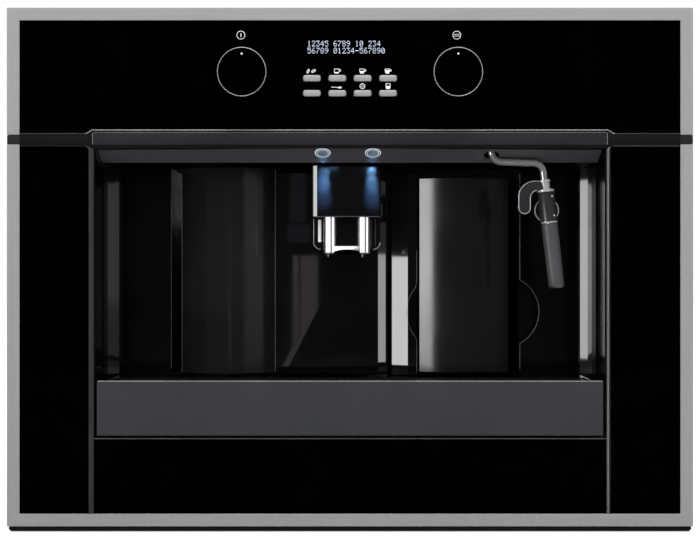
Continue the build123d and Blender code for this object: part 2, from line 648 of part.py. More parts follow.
POWER_X = (TANK_BAY_RIGHT + 15.2, BODY_HALF - 9)
POWER_DEPTH = (170.0, 340.0)
with BuildPart() as power_board:
    board_z = DECK_TOP + 8
    block(POWER_X, POWER_DEPTH, (board_z, board_z + BOARD))
    for x in (POWER_X[0] + 6, POWER_X[1] - 6):
        for d in (POWER_DEPTH[0] + 6, POWER_DEPTH[1] - 6):
            upright(x, d, 3, (DECK_TOP, board_z))
    board_w = POWER_X[1] - POWER_X[0]
    for share, dd, w, h in ((0.25, 30, 20, 30), (0.675, 45, 26, 22), (0.3625, 90, 30, 26),
                            (0.75, 130, 22, 34)):
        x, d = POWER_X[0] + share * board_w, POWER_DEPTH[0] + dd
        block((x - w / 2, x + w / 2), (d - w / 2, d + w / 2), (board_z + BOARD, board_z + BOARD + h))
save(power_board, "power_board")

INLET_WALL = 3.0
with BuildPart() as mains_inlet:
    inlet_x = (INLET_X - INLET_W / 2, INLET_X + INLET_W / 2)
    inlet_z = (INLET_Z - INLET_H / 2, INLET_Z + INLET_H / 2)
    block(inlet_x, (BODY_DEPTH - 20, BODY_DEPTH), inlet_z)
    block((inlet_x[0] - 6.5, inlet_x[1] + 6.5), (BODY_DEPTH - SHEET - 2, BODY_DEPTH - SHEET), inlet_z)
    block((inlet_x[0] + INLET_WALL, inlet_x[1] - INLET_WALL), (BODY_DEPTH - 14, BODY_DEPTH + 1),
          (inlet_z[0] + INLET_WALL, inlet_z[1] - INLET_WALL), Mode.SUBTRACT)
    for pin in (-6, 0, 6):
        x = INLET_X + pin
        block((x - 1, x + 1), (BODY_DEPTH - 14, BODY_DEPTH - 2), (INLET_Z - 2, INLET_Z + 2))
save(mains_inlet, "mains_inlet")

# ---------------------------------------------------------------- controls
with BuildPart() as control_board:
    block((-DISPLAY_HALF_W + GAP, DISPLAY_HALF_W - GAP), (CARRIER_FRONT, BOARD_DEPTH),
          (DISPLAY_Z[0] + GAP, DISPLAY_Z[1] - GAP))
    block((-KNOB_X - 31.3, KNOB_X + 31.3), (BOARD_DEPTH, BOARD_DEPTH + BOARD),
          (CONTROL_Z - 28.2, CONTROL_Z + 33.8))
    for x in (-KNOB_X, KNOB_X):
        drilled(x, KNOB_Z, 9, (CARRIER_BACK, BOARD_DEPTH), Mode.ADD)
        drilled(x, KNOB_Z, SHAFT_R + RUN, (0, BOARD_DEPTH - 1))
    block((-KEYPAD_HALF_W, KEYPAD_HALF_W), (KEYPAD_DEPTH, BOARD_DEPTH),
          (key_zone[0], key_zone[1]))
    for row in KEY_ROWS:
        for i in range(4):
            x = (i - 1.5) * KEY_PITCH_X
            drilled(x, row, 1.75, (8, KEYPAD_DEPTH), Mode.ADD)
save(control_board, "control_board")

for name, sign in (("selector_knob", -1), ("steam_knob", 1)):
    with BuildPart() as knob:
        x = sign * KNOB_X
        drilled(x, KNOB_Z, KNOB_R, (-KNOB_PROUD, GLASS_FRONT - KNOB_LIFT), Mode.ADD)
        fillet(knob.edges().filter_by(GeomType.CIRCLE).group_by(Axis.Y)[0], 1.2)
        drilled(x, KNOB_Z, SHAFT_R, (-KNOB_PROUD + 3, SHAFT_END), Mode.ADD)
        drilled(x, KNOB_Z + KNOB_R - 5.5, 0.9, (-KNOB_PROUD - 1, -KNOB_PROUD + 0.4))
    save(knob, name)

key_back = GLASS_BACK + GAP
for number in range(8):
    x = (number % 4 - 1.5) * KEY_PITCH_X
    z = KEY_ROWS[number // 4]
    with BuildPart() as key:
        with BuildSketch(facing(-KEY_PROUD)):
            with Locations((x, z)):
                RectangleRounded(KEY_W, KEY_H, KEY_CORNER)
        extrude(amount=-KEY_PROUD - key_back)
        with BuildSketch(facing(key_back)):
            with Locations((x, z)):
                RectangleRounded(KEY_W + 3, KEY_H + 3, KEY_CORNER + 1.5)
        extrude(amount=-KEY_FLANGE)
        drilled(x, z, 1.5, (key_back + KEY_FLANGE, 8 - KEY_TRAVEL - 0.1), Mode.ADD)
        fillet(key.faces().sort_by(Axis.Y)[0].edges(), 0.6)
    save(key, f"key_{number + 1}")

# ---------------------------------------------------------------- service door
with BuildPart() as service_door:
    bulge_mid = (DOOR_X[0] + DOOR_BULGE_END) / 2
    with BuildSketch(Plane.XY.offset(DOOR_Z[0])):
        with BuildLine():
            ThreePointArc((DOOR_X[0], behind(DOOR_FACE)), (bulge_mid, behind(DOOR_FACE - DOOR_BULGE)),
                          (DOOR_BULGE_END, behind(DOOR_FACE)))
            Polyline((DOOR_BULGE_END, behind(DOOR_FACE)), (DOOR_X[1], behind(DOOR_FACE)),
                     (DOOR_X[1], behind(DOOR_BACK)), (DOOR_X[0], behind(DOOR_BACK)),
                     (DOOR_X[0], behind(DOOR_FACE)))
        make_face()
    extrude(amount=DOOR_Z[1] - DOOR_Z[0])
    right_front = service_door.edges().filter_by(Axis.Z).sort_by(Axis.X)[-2:].sort_by(Axis.Y)[0]
    fillet(right_front, DOOR_EDGE_R)
    with BuildSketch(Plane.XY.offset(DOOR_Z[0] + DOOR_WALL)):
        with BuildLine():
            left = DOOR_X[0] + 4 * DOOR_WALL
            right = DOOR_BULGE_END - DOOR_WALL
            ThreePointArc((left, behind(DOOR_FACE - 2)),
                          (bulge_mid, behind(DOOR_FACE - DOOR_BULGE + DOOR_WALL)),
                          (right, behind(DOOR_FACE - 2)))
            Polyline((right, behind(DOOR_FACE - 2)), (right, behind(DOOR_BACK)), (left, behind(DOOR_BACK)),
                     (left, behind(DOOR_FACE - 2)))
        make_face()
    extrude(amount=DOOR_Z[1] - DOOR_Z[0] - 2 * DOOR_WALL, mode=Mode.SUBTRACT)
    block((DOOR_BULGE_END + 2 * DOOR_WALL, DOOR_X[1] - 2 * DOOR_EDGE_R), (DOOR_FACE + DOOR_WALL, DOOR_BACK),
          (DOOR_Z[0] + DOOR_WALL, DOOR_Z[1] - DOOR_WALL), Mode.SUBTRACT)
    upright(HINGE_X, HINGE_DEPTH, HINGE_R, (DOOR_Z[0] - 2, CEILING_Z + 2))
    rail = (SPOUT_X - SPOUT_RAIL_W / 2, SPOUT_X + SPOUT_RAIL_W / 2)
    block(rail, (DOOR_FACE - SPOUT_RAIL, DOOR_FACE), (SHROUD_BOTTOM, DOOR_Z[1] - 4))
save(service_door, "service_door")

with BuildPart() as grounds_container:
    start = DOOR_BACK
    wall = CONTAINER_WALL
    block(CONTAINER_X, (start, CONTAINER_END), CONTAINER_Z)
    fillet(grounds_container.edges().filter_by(Axis.Z).group_by(Axis.Y)[-1], 12)
    block((CONTAINER_X[0] + wall, CONTAINER_X[1] - wall), (start + wall, CONTAINER_END - wall - 4),
          (CONTAINER_Z[0] + wall, HEIGHT), Mode.SUBTRACT)
save(grounds_container, "grounds_container")

# ---------------------------------------------------------------- coffee spout
spout_x = (SPOUT_X - SPOUT_W / 2, SPOUT_X + SPOUT_W / 2)
rail_slot = (rail[0] - GAP, rail[1] + GAP)
with BuildPart() as spout_housing:
    block(spout_x, (SPOUT_FRONT, DOOR_FACE - GAP), SPOUT_Z)
    fillet(spout_housing.edges().filter_by(Axis.Z).group_by(Axis.Y)[0], 4)
    fillet(spout_housing.faces().sort_by(Axis.Y)[0].edges().filter_by(Axis.X), 1.5)
    block(rail_slot, (DOOR_FACE - SPOUT_RAIL - GAP, DOOR_FACE), (0, HEIGHT), Mode.SUBTRACT)
    for x in (-NOZZLE_SPACING / 2, NOZZLE_SPACING / 2):
        upright(SPOUT_X + x, NOZZLE_DEPTH, NOZZLE_R + RUN, (SPOUT_Z[0] - 1, SPOUT_Z[0] + 12), Mode.SUBTRACT)
    block(spout_x, (SHROUD_FRONT, SHROUD_FRONT + SHROUD_WALL), (SHROUD_BOTTOM, SPOUT_Z[0]))
    fillet(spout_housing.edges().filter_by(Axis.Y).group_by(Axis.Z)[0], SHROUD_CORNER_R)
save(spout_housing, "spout_housing")

with BuildPart() as spout_nozzles:
    for x in (-NOZZLE_SPACING / 2, NOZZLE_SPACING / 2):
        upright(SPOUT_X + x, NOZZLE_DEPTH, NOZZLE_R, (NOZZLE_BOTTOM, SPOUT_Z[0] + 11))
    inner = NOZZLE_SPACING / 2
    block((SPOUT_X - inner, SPOUT_X + inner), (NOZZLE_DEPTH - 4, NOZZLE_DEPTH + 4),
          (SHROUD_BOTTOM - 0.5, SHROUD_BOTTOM + 6.5))
    for x in (-NOZZLE_SPACING / 2, NOZZLE_SPACING / 2):
        upright(SPOUT_X + x, NOZZLE_DEPTH, NOZZLE_R - NOZZLE_WALL, (NOZZLE_BOTTOM - 1, SPOUT_Z[0] + 12),
                Mode.SUBTRACT)
    fillet(spout_nozzles.edges().filter_by(GeomType.CIRCLE).group_by(Axis.Z)[0], 0.5)
save(spout_nozzles, "spout_nozzles")

# ---------------------------------------------------------------- water tank
with BuildPart() as tank_body:
    wall = TANK_WALL
    block(TANK_X, (TANK_FACE, TANK_END), TANK_Z)
    fillet(tank_body.edges().filter_by(Axis.Z).group_by(Axis.Y)[-1], 12)
    block((TANK_X[0] + wall, TANK_X[1] - wall), (TANK_FACE + wall, TANK_END - wall - 4),
          (TANK_Z[0] + wall, HEIGHT), Mode.SUBTRACT)
save(tank_body, "tank_body")

with BuildPart() as tank_lid:
    lid_z = (TANK_Z[1], TANK_FRONT_TOP - 1)
    block((TANK_X[0] + 1, TANK_X[1] - 1), (TANK_FACE + GAP, TANK_END - 8), (lid_z[0], lid_z[0] + 2.5))
    block((TANK_X[0] + 30, TANK_X[1] - 30), (TANK_FACE + 40, TANK_FACE + 90), (lid_z[0] + 2.5, lid_z[1]))
save(tank_lid, "tank_lid")

with BuildPart() as tank_front:
    tank_mid = sum(TANK_X) / 2
    with BuildSketch(Plane.XY.offset(TANK_Z[0])):
        with BuildLine():
            ThreePointArc((TANK_X[0], behind(TANK_FACE - 1)), (tank_mid, behind(TANK_FACE - TANK_BULGE)),
                          (TANK_X[1], behind(TANK_FACE - 1)))
            Polyline((TANK_X[1], behind(TANK_FACE - 1)), (TANK_X[1], behind(TANK_FACE)),
                     (TANK_X[0], behind(TANK_FACE)), (TANK_X[0], behind(TANK_FACE - 1)))
        make_face()
    extrude(amount=TANK_FRONT_TOP - TANK_Z[0])
save(tank_front, "tank_front")

# ---------------------------------------------------------------- drip tray
with BuildPart() as tray_front:
    block((-TRAY_HALF, TRAY_HALF), (0, TRAY_FRONT), TRAY_Z)
    fillet(tray_front.faces().sort_by(Axis.Y)[0].edges().filter_by(Axis.X), 1)
save(tray_front, "tray_front")

with BuildPart() as tray_tub:
    block((-TUB_HALF, TUB_HALF), (TRAY_FRONT, TUB_END), TUB_Z)
    fillet(tray_tub.edges().filter_by(Axis.Z).group_by(Axis.Y)[-1], 14)
    inside = TUB_HALF - TUB_WALL
    well_start, well_z = TRAY_FRONT + TUB_WALL, TUB_Z[0] + TUB_WALL
    block((-inside, inside), (well_start, GRID_END + GAP), (well_z, HEIGHT), Mode.SUBTRACT)
    block((-inside + 8, inside - 8), (GRID_END, TUB_END - 2 * TUB_WALL - 4), (well_z, TUB_Z[1] - TUB_WALL),
          Mode.SUBTRACT)
    for side in both_sides((inside - 4, inside)):
        block(side, (well_start, GRID_END), (well_z, GRID_TOP - GRID - GAP / 3))
save(tray_tub, "tray_tub")

with BuildPart() as cup_grid:
    half = TUB_HALF - TUB_WALL - GAP
    depth = (TRAY_FRONT + TUB_WALL + GAP, GRID_END - GAP)
    block((-half, half), depth, (GRID_TOP - GRID, GRID_TOP))
    slot_depth = (depth[1] - depth[0] - 8) / GRID_ROWS - 4
    with BuildSketch(Plane.XY.offset(GRID_TOP - GRID)):
        with Locations((0, behind(sum(depth) / 2))):
            columns = int(2 * half / GRID_SLOT_PITCH) - 1
            with GridLocations(GRID_SLOT_PITCH, slot_depth + 4, columns, GRID_ROWS):
                Rectangle(GRID_SLOT_W, slot_depth)
    extrude(amount=GRID, mode=Mode.SUBTRACT)
save(cup_grid, "cup_grid")

# ---------------------------------------------------------------- steam wand
lean = math.radians(WAND_LEAN)
down = (math.sin(lean), 0, -math.cos(lean))


def wand_plane(distance):
    """A plane across the wand, this far below the collar's top, facing down its axis."""
    x = WAND_TOP[0] + distance * down[0]
    z = WAND_TOP[1] + distance * down[2]
    return Plane(origin=(x, behind(WAND_DEPTH), z), x_dir=(0, 1, 0), z_dir=down)


tube_top = WAND_ARM_Z + WAND_BEND_R + SOCKET_LENGTH
with BuildPart() as wand_socket:
    socket_low = WAND_ARM_Z + WAND_BEND_R + GAP
    upright(WAND_X, WAND_DEPTH, SOCKET_R, (socket_low, tube_top + GAP))
    upright(WAND_X, WAND_DEPTH, SOCKET_R + SOCKET_RIM, (tube_top - 5, tube_top + GAP))
    upright(WAND_X, WAND_DEPTH, WAND_TUBE_R + RUN, (CEILING_Z, HEIGHT), Mode.SUBTRACT)
save(wand_socket, "wand_socket")

with BuildPart() as wand_tube:
    elbow_x = WAND_TOP[0] - (WAND_ARM_Z - 1.5 - WAND_TOP[1]) * math.tan(lean)
    end = wand_plane(COLLAR_LENGTH + TIP_LENGTH).origin
    with BuildLine(Plane(origin=(0, behind(WAND_DEPTH), 0), x_dir=(1, 0, 0), z_dir=(0, -1, 0))):
        FilletPolyline((WAND_X, tube_top), (WAND_X, WAND_ARM_Z), (elbow_x, WAND_ARM_Z - 1.5),
                       (end.X, end.Z), radius=WAND_BEND_R)
    with BuildSketch(Plane.XY.offset(tube_top)):
        with Locations((WAND_X, behind(WAND_DEPTH))):
            Circle(WAND_TUBE_R)
    sweep()
save(wand_tube, "wand_tube")

with BuildPart() as wand_handle:
    with BuildSketch(facing(WAND_DEPTH - HOOK_THICK / 2)):
        with BuildLine():
            tip_r = HOOK_TIP_W / 2
            hook_right = HOOK_LEFT + HOOK_TIP_W
            neck_x = WAND_TOP[0] + 4
            neck_low = WAND_TOP[1] - 0.5
            tip_z = HOOK_TIP_Z + tip_r
            crook_z = HOOK_TOP_Z - 14
            crook_x = HOOK_LEFT + 16
            Polyline((HOOK_LEFT, tip_z), (HOOK_LEFT, crook_z))
            ThreePointArc((HOOK_LEFT, crook_z), (HOOK_LEFT + 4.4, HOOK_TOP_Z - 3.9), (crook_x, HOOK_TOP_Z))
            Polyline((crook_x, HOOK_TOP_Z), (neck_x, HOOK_TOP_Z), (neck_x, neck_low),
                     (hook_right + 5, neck_low))
            ThreePointArc((hook_right + 5, neck_low), (hook_right + 1.5, neck_low - 1.5),
                          (hook_right, neck_low - 5))
            Polyline((hook_right, neck_low - 5), (hook_right, tip_z))
            ThreePointArc((hook_right, tip_z), (HOOK_LEFT + tip_r, HOOK_TIP_Z), (HOOK_LEFT, tip_z))
        make_face()
    extrude(amount=-HOOK_THICK)
    with BuildSketch(wand_plane(0)):
        Circle(COLLAR_R)
    extrude(amount=COLLAR_LENGTH)
    with BuildSketch(wand_plane(-14)):
        Circle(WAND_TUBE_R + RUN)
    extrude(amount=COLLAR_LENGTH + 20, mode=Mode.SUBTRACT)
save(wand_handle, "wand_handle")

with BuildPart() as froth_dial:
    centre = wand_plane(17).origin
    dial_front = WAND_DEPTH + COLLAR_R + GAP
    drilled(centre.X, centre.Z, DIAL_R, (dial_front, dial_front + DIAL), Mode.ADD)
save(froth_dial, "froth_dial")

with BuildPart() as froth_sleeve:
    with BuildSketch(wand_plane(COLLAR_LENGTH + GAP)):
        Circle(SLEEVE_R)
        Circle(WAND_TUBE_R + 2 * RUN, mode=Mode.SUBTRACT)
    extrude(amount=SLEEVE_LENGTH)
    with BuildSketch(wand_plane(COLLAR_LENGTH + GAP + 6)):
        Circle(SLEEVE_R - SLEEVE_WALL)
    extrude(amount=SLEEVE_LENGTH, mode=Mode.SUBTRACT)
save(froth_sleeve, "froth_sleeve")

# ---------------------------------------------------------------- top and rear controls
with BuildPart() as bean_lid:
    lid_z = BODY_TOP + SHEET + GAP
    lid_x = (HOPPER_X[0] - LID_OVERLAP, HOPPER_X[1] + LID_OVERLAP)
    lid_depth = (HOPPER_DEPTH[0] - LID_OVERLAP, HOPPER_DEPTH[1] + LID_OVERLAP)
    block(lid_x, lid_depth, (lid_z, lid_z + LID))
    fillet(bean_lid.edges().filter_by(Axis.Z), 8)
save(bean_lid, "bean_lid")

with BuildPart() as grind_knob:
    upright(GRIND_KNOB_X, hopper_mid, GRIND_KNOB_R, (BODY_TOP + SHEET + GAP, BODY_TOP + SHEET + 8))
    upright(GRIND_KNOB_X, hopper_mid, SHAFT_R, (BODY_TOP - 12, BODY_TOP + SHEET + 1))
save(grind_knob, "grind_knob")

with BuildPart() as power_switch:
    with BuildSketch(Plane.YZ.offset(SWITCH_X)):
        with Locations((behind(SWITCH_AXIS), INLET_Z)):
            Circle(SWITCH_R)
            with Locations((SWITCH_R + 1.5, 0)):
                Circle(4, mode=Mode.SUBTRACT)
    extrude(amount=SWITCH_W / 2, both=True)
save(power_switch, "power_switch")

print("all pieces written")
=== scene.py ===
"""Looks of a built-in coffee machine: stainless fascia, black glass and a lit niche.

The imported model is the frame. Lengths are written in millimetres, and at() turns them into
metres. Depths are measured backwards from the front plane, the face of the stainless trim.
"""
import json
import math

import bmesh
import bpy
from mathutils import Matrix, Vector

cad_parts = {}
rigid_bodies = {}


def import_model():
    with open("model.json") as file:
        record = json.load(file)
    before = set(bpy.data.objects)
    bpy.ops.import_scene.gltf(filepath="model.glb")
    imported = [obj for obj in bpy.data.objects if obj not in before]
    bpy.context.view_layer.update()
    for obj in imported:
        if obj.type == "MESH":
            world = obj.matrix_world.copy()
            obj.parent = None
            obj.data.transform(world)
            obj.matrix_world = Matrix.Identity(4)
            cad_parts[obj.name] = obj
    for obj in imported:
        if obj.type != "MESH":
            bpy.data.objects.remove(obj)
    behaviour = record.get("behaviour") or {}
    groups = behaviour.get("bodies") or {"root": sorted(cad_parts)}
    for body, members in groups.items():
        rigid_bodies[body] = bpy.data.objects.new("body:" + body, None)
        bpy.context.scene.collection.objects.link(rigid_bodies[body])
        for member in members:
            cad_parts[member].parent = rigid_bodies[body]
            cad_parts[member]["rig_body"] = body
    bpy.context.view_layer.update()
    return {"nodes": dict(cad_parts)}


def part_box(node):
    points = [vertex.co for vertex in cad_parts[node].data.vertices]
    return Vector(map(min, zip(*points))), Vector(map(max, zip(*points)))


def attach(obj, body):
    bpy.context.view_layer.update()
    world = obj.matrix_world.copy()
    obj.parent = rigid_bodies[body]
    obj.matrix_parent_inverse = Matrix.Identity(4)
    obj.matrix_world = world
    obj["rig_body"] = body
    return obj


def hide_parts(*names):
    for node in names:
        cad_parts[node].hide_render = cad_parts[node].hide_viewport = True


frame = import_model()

scene = bpy.context.scene

# ---------------------------------------------------------------- sizes, in millimetres
FRONT_Y = -191.0
TRIM_HALF = 297.5
TRIM_TOP = 455.0
TRIM_BOTTOM = 5.2
GLASS_FRONT = 0.5
BAND_WING_END = 286.2
BAND_END = 297.2
BAND_END_Z = (336.9, 344.4)
BAND_WING_Z = (334.7, 346.1)
BAND_MID_Z = (333.2, 349.8)
BAND_STEP_X = (221.6, 229.6)
KNOB_X = 92.9
KNOB_Z = 397.6
KEY_SIZE = (15.0, 5.3)
KEY_CORNER = 1.8
KEY_PITCH = 22.0
KEY_ROWS = (393.7, 380.7)
LAMP_X = (-23.9, 20.0)
APRON_START = (6.0, 333.0)  # depth and height of the ceiling's sloping front
APRON_RISE = 10.8 / 18.7
APRON_LEAN = math.atan(APRON_RISE)
LAMP_SEAT = (13.5, APRON_START[1] - APRON_RISE * (13.5 - APRON_START[0]))
LAMP_DEPTH = 11.0
NICHE_BACK = 130.0
NICHE_CORNER = (211.6, 120.0, 10.0)  # the solids' rear corner: X, depth and radius
WALL_OPENING = 9.5
DOOR_FACE = 105.0
PILLAR_EDGE = 53.8
PILLAR_SLOPE = 0.3
DOOR_FREE_EDGE = 26.0
DOOR_SLOPE = 0.4877
SPOUT_X = -2.8
SPOUT_BEVEL_X = -29.1
NOZZLE_SPACING = 30.8
NOZZLE_DEPTH = 54.0
NOZZLE_Z = (241.9, 281.4)
WAND_DEPTH = 16.0
WAND_TOP = (171.5, 297.0)
WAND_LEAN = math.radians(6.5)
COLLAR_R = 7.4
COLLAR_LENGTH = 28.6
SLEEVE_LENGTH = 57.0
GRID_X = 213.7
GRID_DEPTH = (14.3, 77.7)
GRID_Z = (126.5, 128.0)
REAR_DEPTH = 397.5
HOPPER_MID = 265.0
DISPLAY_LEFT = -36.6
DISPLAY_LINES = (426.0, 419.9)


def at(x, depth, z):
    """A point in metres, from millimetres: X, the depth behind the front plane, and Z."""
    return Vector((x, FRONT_Y + depth, z)) / 1000


# ---------------------------------------------------------------- shader effects
def node(tree, kind, inputs=None, **settings):
    """A new node; inputs gives its sockets a plain value or another node's output."""
    made = tree.nodes.new(kind)
    for key, value in settings.items():
        setattr(made, key, value)
    for socket, value in (inputs or {}).items():
        if isinstance(value, bpy.types.NodeSocket):
            tree.links.new(value, made.inputs[socket])
        else:
            made.inputs[socket].default_value = value
    return made


def effect(name, amount, kind="NodeSocketFloat"):
    """An empty shader group with its sockets; gives it, its inputs and the Object coordinates."""
    group = bpy.data.node_groups.new(name, "ShaderNodeTree")
    for title, socket in (("Colour", "NodeSocketColor"), ("Second Colour", "NodeSocketColor"),
                          ("Rough Low", "NodeSocketFloat"), ("Rough High", "NodeSocketFloat"),
                          (amount, kind)):
        group.interface.new_socket(title, in_out="INPUT", socket_type=socket)
    for title, socket in (("Colour", "NodeSocketColor"), ("Roughness", "NodeSocketFloat"),
                          ("Height", "NodeSocketFloat")):
        group.interface.new_socket(title, in_out="OUTPUT", socket_type=socket)
    given = group.nodes.new("NodeGroupInput").outputs
    return group, given, node(group, "ShaderNodeTexCoord").outputs["Object"]


def close_effect(group, given, tone, height):
    """The mask shades between two colours and two roughnesses, and the height goes out as it is."""
    mix = node(group, "ShaderNodeMix", {"Factor": tone, 6: given["Colour"], 7: given["Second Colour"]},
               data_type="RGBA")
    rough = node(group, "ShaderNodeMapRange",
                 {"Value": tone, "To Min": given["Rough Low"], "To Max": given["Rough High"]})
    node(group, "NodeGroupOutput",
         {"Colour": mix.outputs[2], "Roughness": rough.outputs["Result"], "Height": height})
    return group


def noise(group, vector, scale, detail=3.0, rough=0.55):
    """A noise texture on a vector; the scale is a number or a socket."""
    return node(group, "ShaderNodeTexNoise",
                {"Vector": vector, "Scale": scale, "Detail": detail, "Roughness": rough}).outputs["Fac"]


def blend_values(group, a, b, share):
    """a and b mixed in fixed shares."""
    mix = node(group, "ShaderNodeMix", {"Factor": share, "A": a, "B": b}, data_type="FLOAT")
    return mix.outputs["Result"]


def spread(group, value, low, high):
    """The value between low and high stretched to 0..1."""
    return node(group, "ShaderNodeMapRange",
                {"Value": value, "From Min": low, "From Max": high}).outputs["Result"]


def brushed_effect():
    """Fine lines drawn along the metal, over soft clouds."""
    group, given, place = effect("brushed_grain", "Stretch", "NodeSocketVector")
    drawn = node(group, "ShaderNodeVectorMath", {0: place, 1: given["Stretch"]}, operation="MULTIPLY")
    lines = spread(group, noise(group, drawn.outputs[0], 1.0, 4.0, 0.7), 0.3, 0.7)
    return close_effect(group, given, blend_values(group, lines, noise(group, place, 9.0, 2.0), 0.35), lines)


def moulded_effect():
    """The fine grain of a moulded surface."""
    group, given, place = effect("moulded_grain", "Grain")
    grain = spread(group, noise(group, place, given["Grain"], 3.0, 0.6), 0.3, 0.7)
    clouds = spread(group, noise(group, place, 14.0, 2.0), 0.3, 0.7)
    return close_effect(group, given, blend_values(group, grain, clouds, 0.45), grain)


def handled_effect():
    """A gloss with faint smudges."""
    group, given, place = effect("handled_gloss", "Smudges")
    smudges = spread(group, noise(group, place, given["Smudges"], 5.0, 0.6), 0.42, 0.68)
    return close_effect(group, given, smudges, noise(group, place, 40.0, 2.0))


def spangle_effect():
    """The crystals of zinc coated sheet."""
    group, given, place = effect("zinc_spangle", "Crystals")
    cells = node(group, "ShaderNodeTexVoronoi", {"Vector": place, "Scale": given["Crystals"]})
    split = node(group, "ShaderNodeSeparateColor", {"Color": cells.outputs["Color"]})
    clouds = noise(group, place, 30.0)
    return close_effect(group, given, blend_values(group, split.outputs[0], clouds, 0.4), clouds)


def track_effect():
    """Copper tracks between the cells of a circuit board."""
    group, given, place = effect("board_tracks", "Pitch")
    cells = node(group, "ShaderNodeTexVoronoi", {"Vector": place, "Scale": given["Pitch"]},
                 feature="DISTANCE_TO_EDGE")
    tracks = spread(group, cells.outputs["Distance"], 0.06, 0.09)
    return close_effect(group, given, tracks, tracks)


EFFECTS = {
    "brushed": (brushed_effect(), "Stretch"),
    "moulded": (moulded_effect(), "Grain"),
    "handled": (handled_effect(), "Smudges"),
    "spangle": (spangle_effect(), "Crystals"),
    "tracks": (track_effect(), "Pitch"),
}


def linear(tone):
    """A grey or a colour as seen on screen, 0 to 255, as scene-linear values."""
    made = []
    for level in tone if isinstance(tone, tuple) else (tone,) * 3:
        c = level / 255
        made.append(c / 12.92 if c <= 0.04045 else ((c + 0.055) / 1.055) ** 2.4)
    return (*made, 1.0)


def finish(name, kind, amount, tones, rough, bump=0.0, reach=1e-4, gloss=0.5, **shader):
    """A material: an effect group leads into a Principled shader with its own constants."""
    material = bpy.data.materials.new(name)
    material.use_nodes = True
    tree = material.node_tree
    principled = tree.nodes["Principled BSDF"]
    group, socket = EFFECTS[kind]
    grain = node(tree, "ShaderNodeGroup", {
        socket: amount, "Colour": linear(tones[0]), "Second Colour": linear(tones[1]), "Rough Low": rough[0],
        "Rough High": rough[1]}, node_tree=group).outputs
    tree.links.new(grain["Colour"], principled.inputs["Base Color"])
    tree.links.new(grain["Roughness"], principled.inputs["Roughness"])
    if bump:
        relief = node(tree, "ShaderNodeBump",
                      {"Strength": bump, "Distance": reach, "Height": grain["Height"]})
        tree.links.new(relief.outputs["Normal"], principled.inputs["Normal"])
    principled.inputs["Specular IOR Level"].default_value = gloss
    for key, value in shader.items():
        principled.inputs[key.replace("_", " ")].default_value = value
    return material


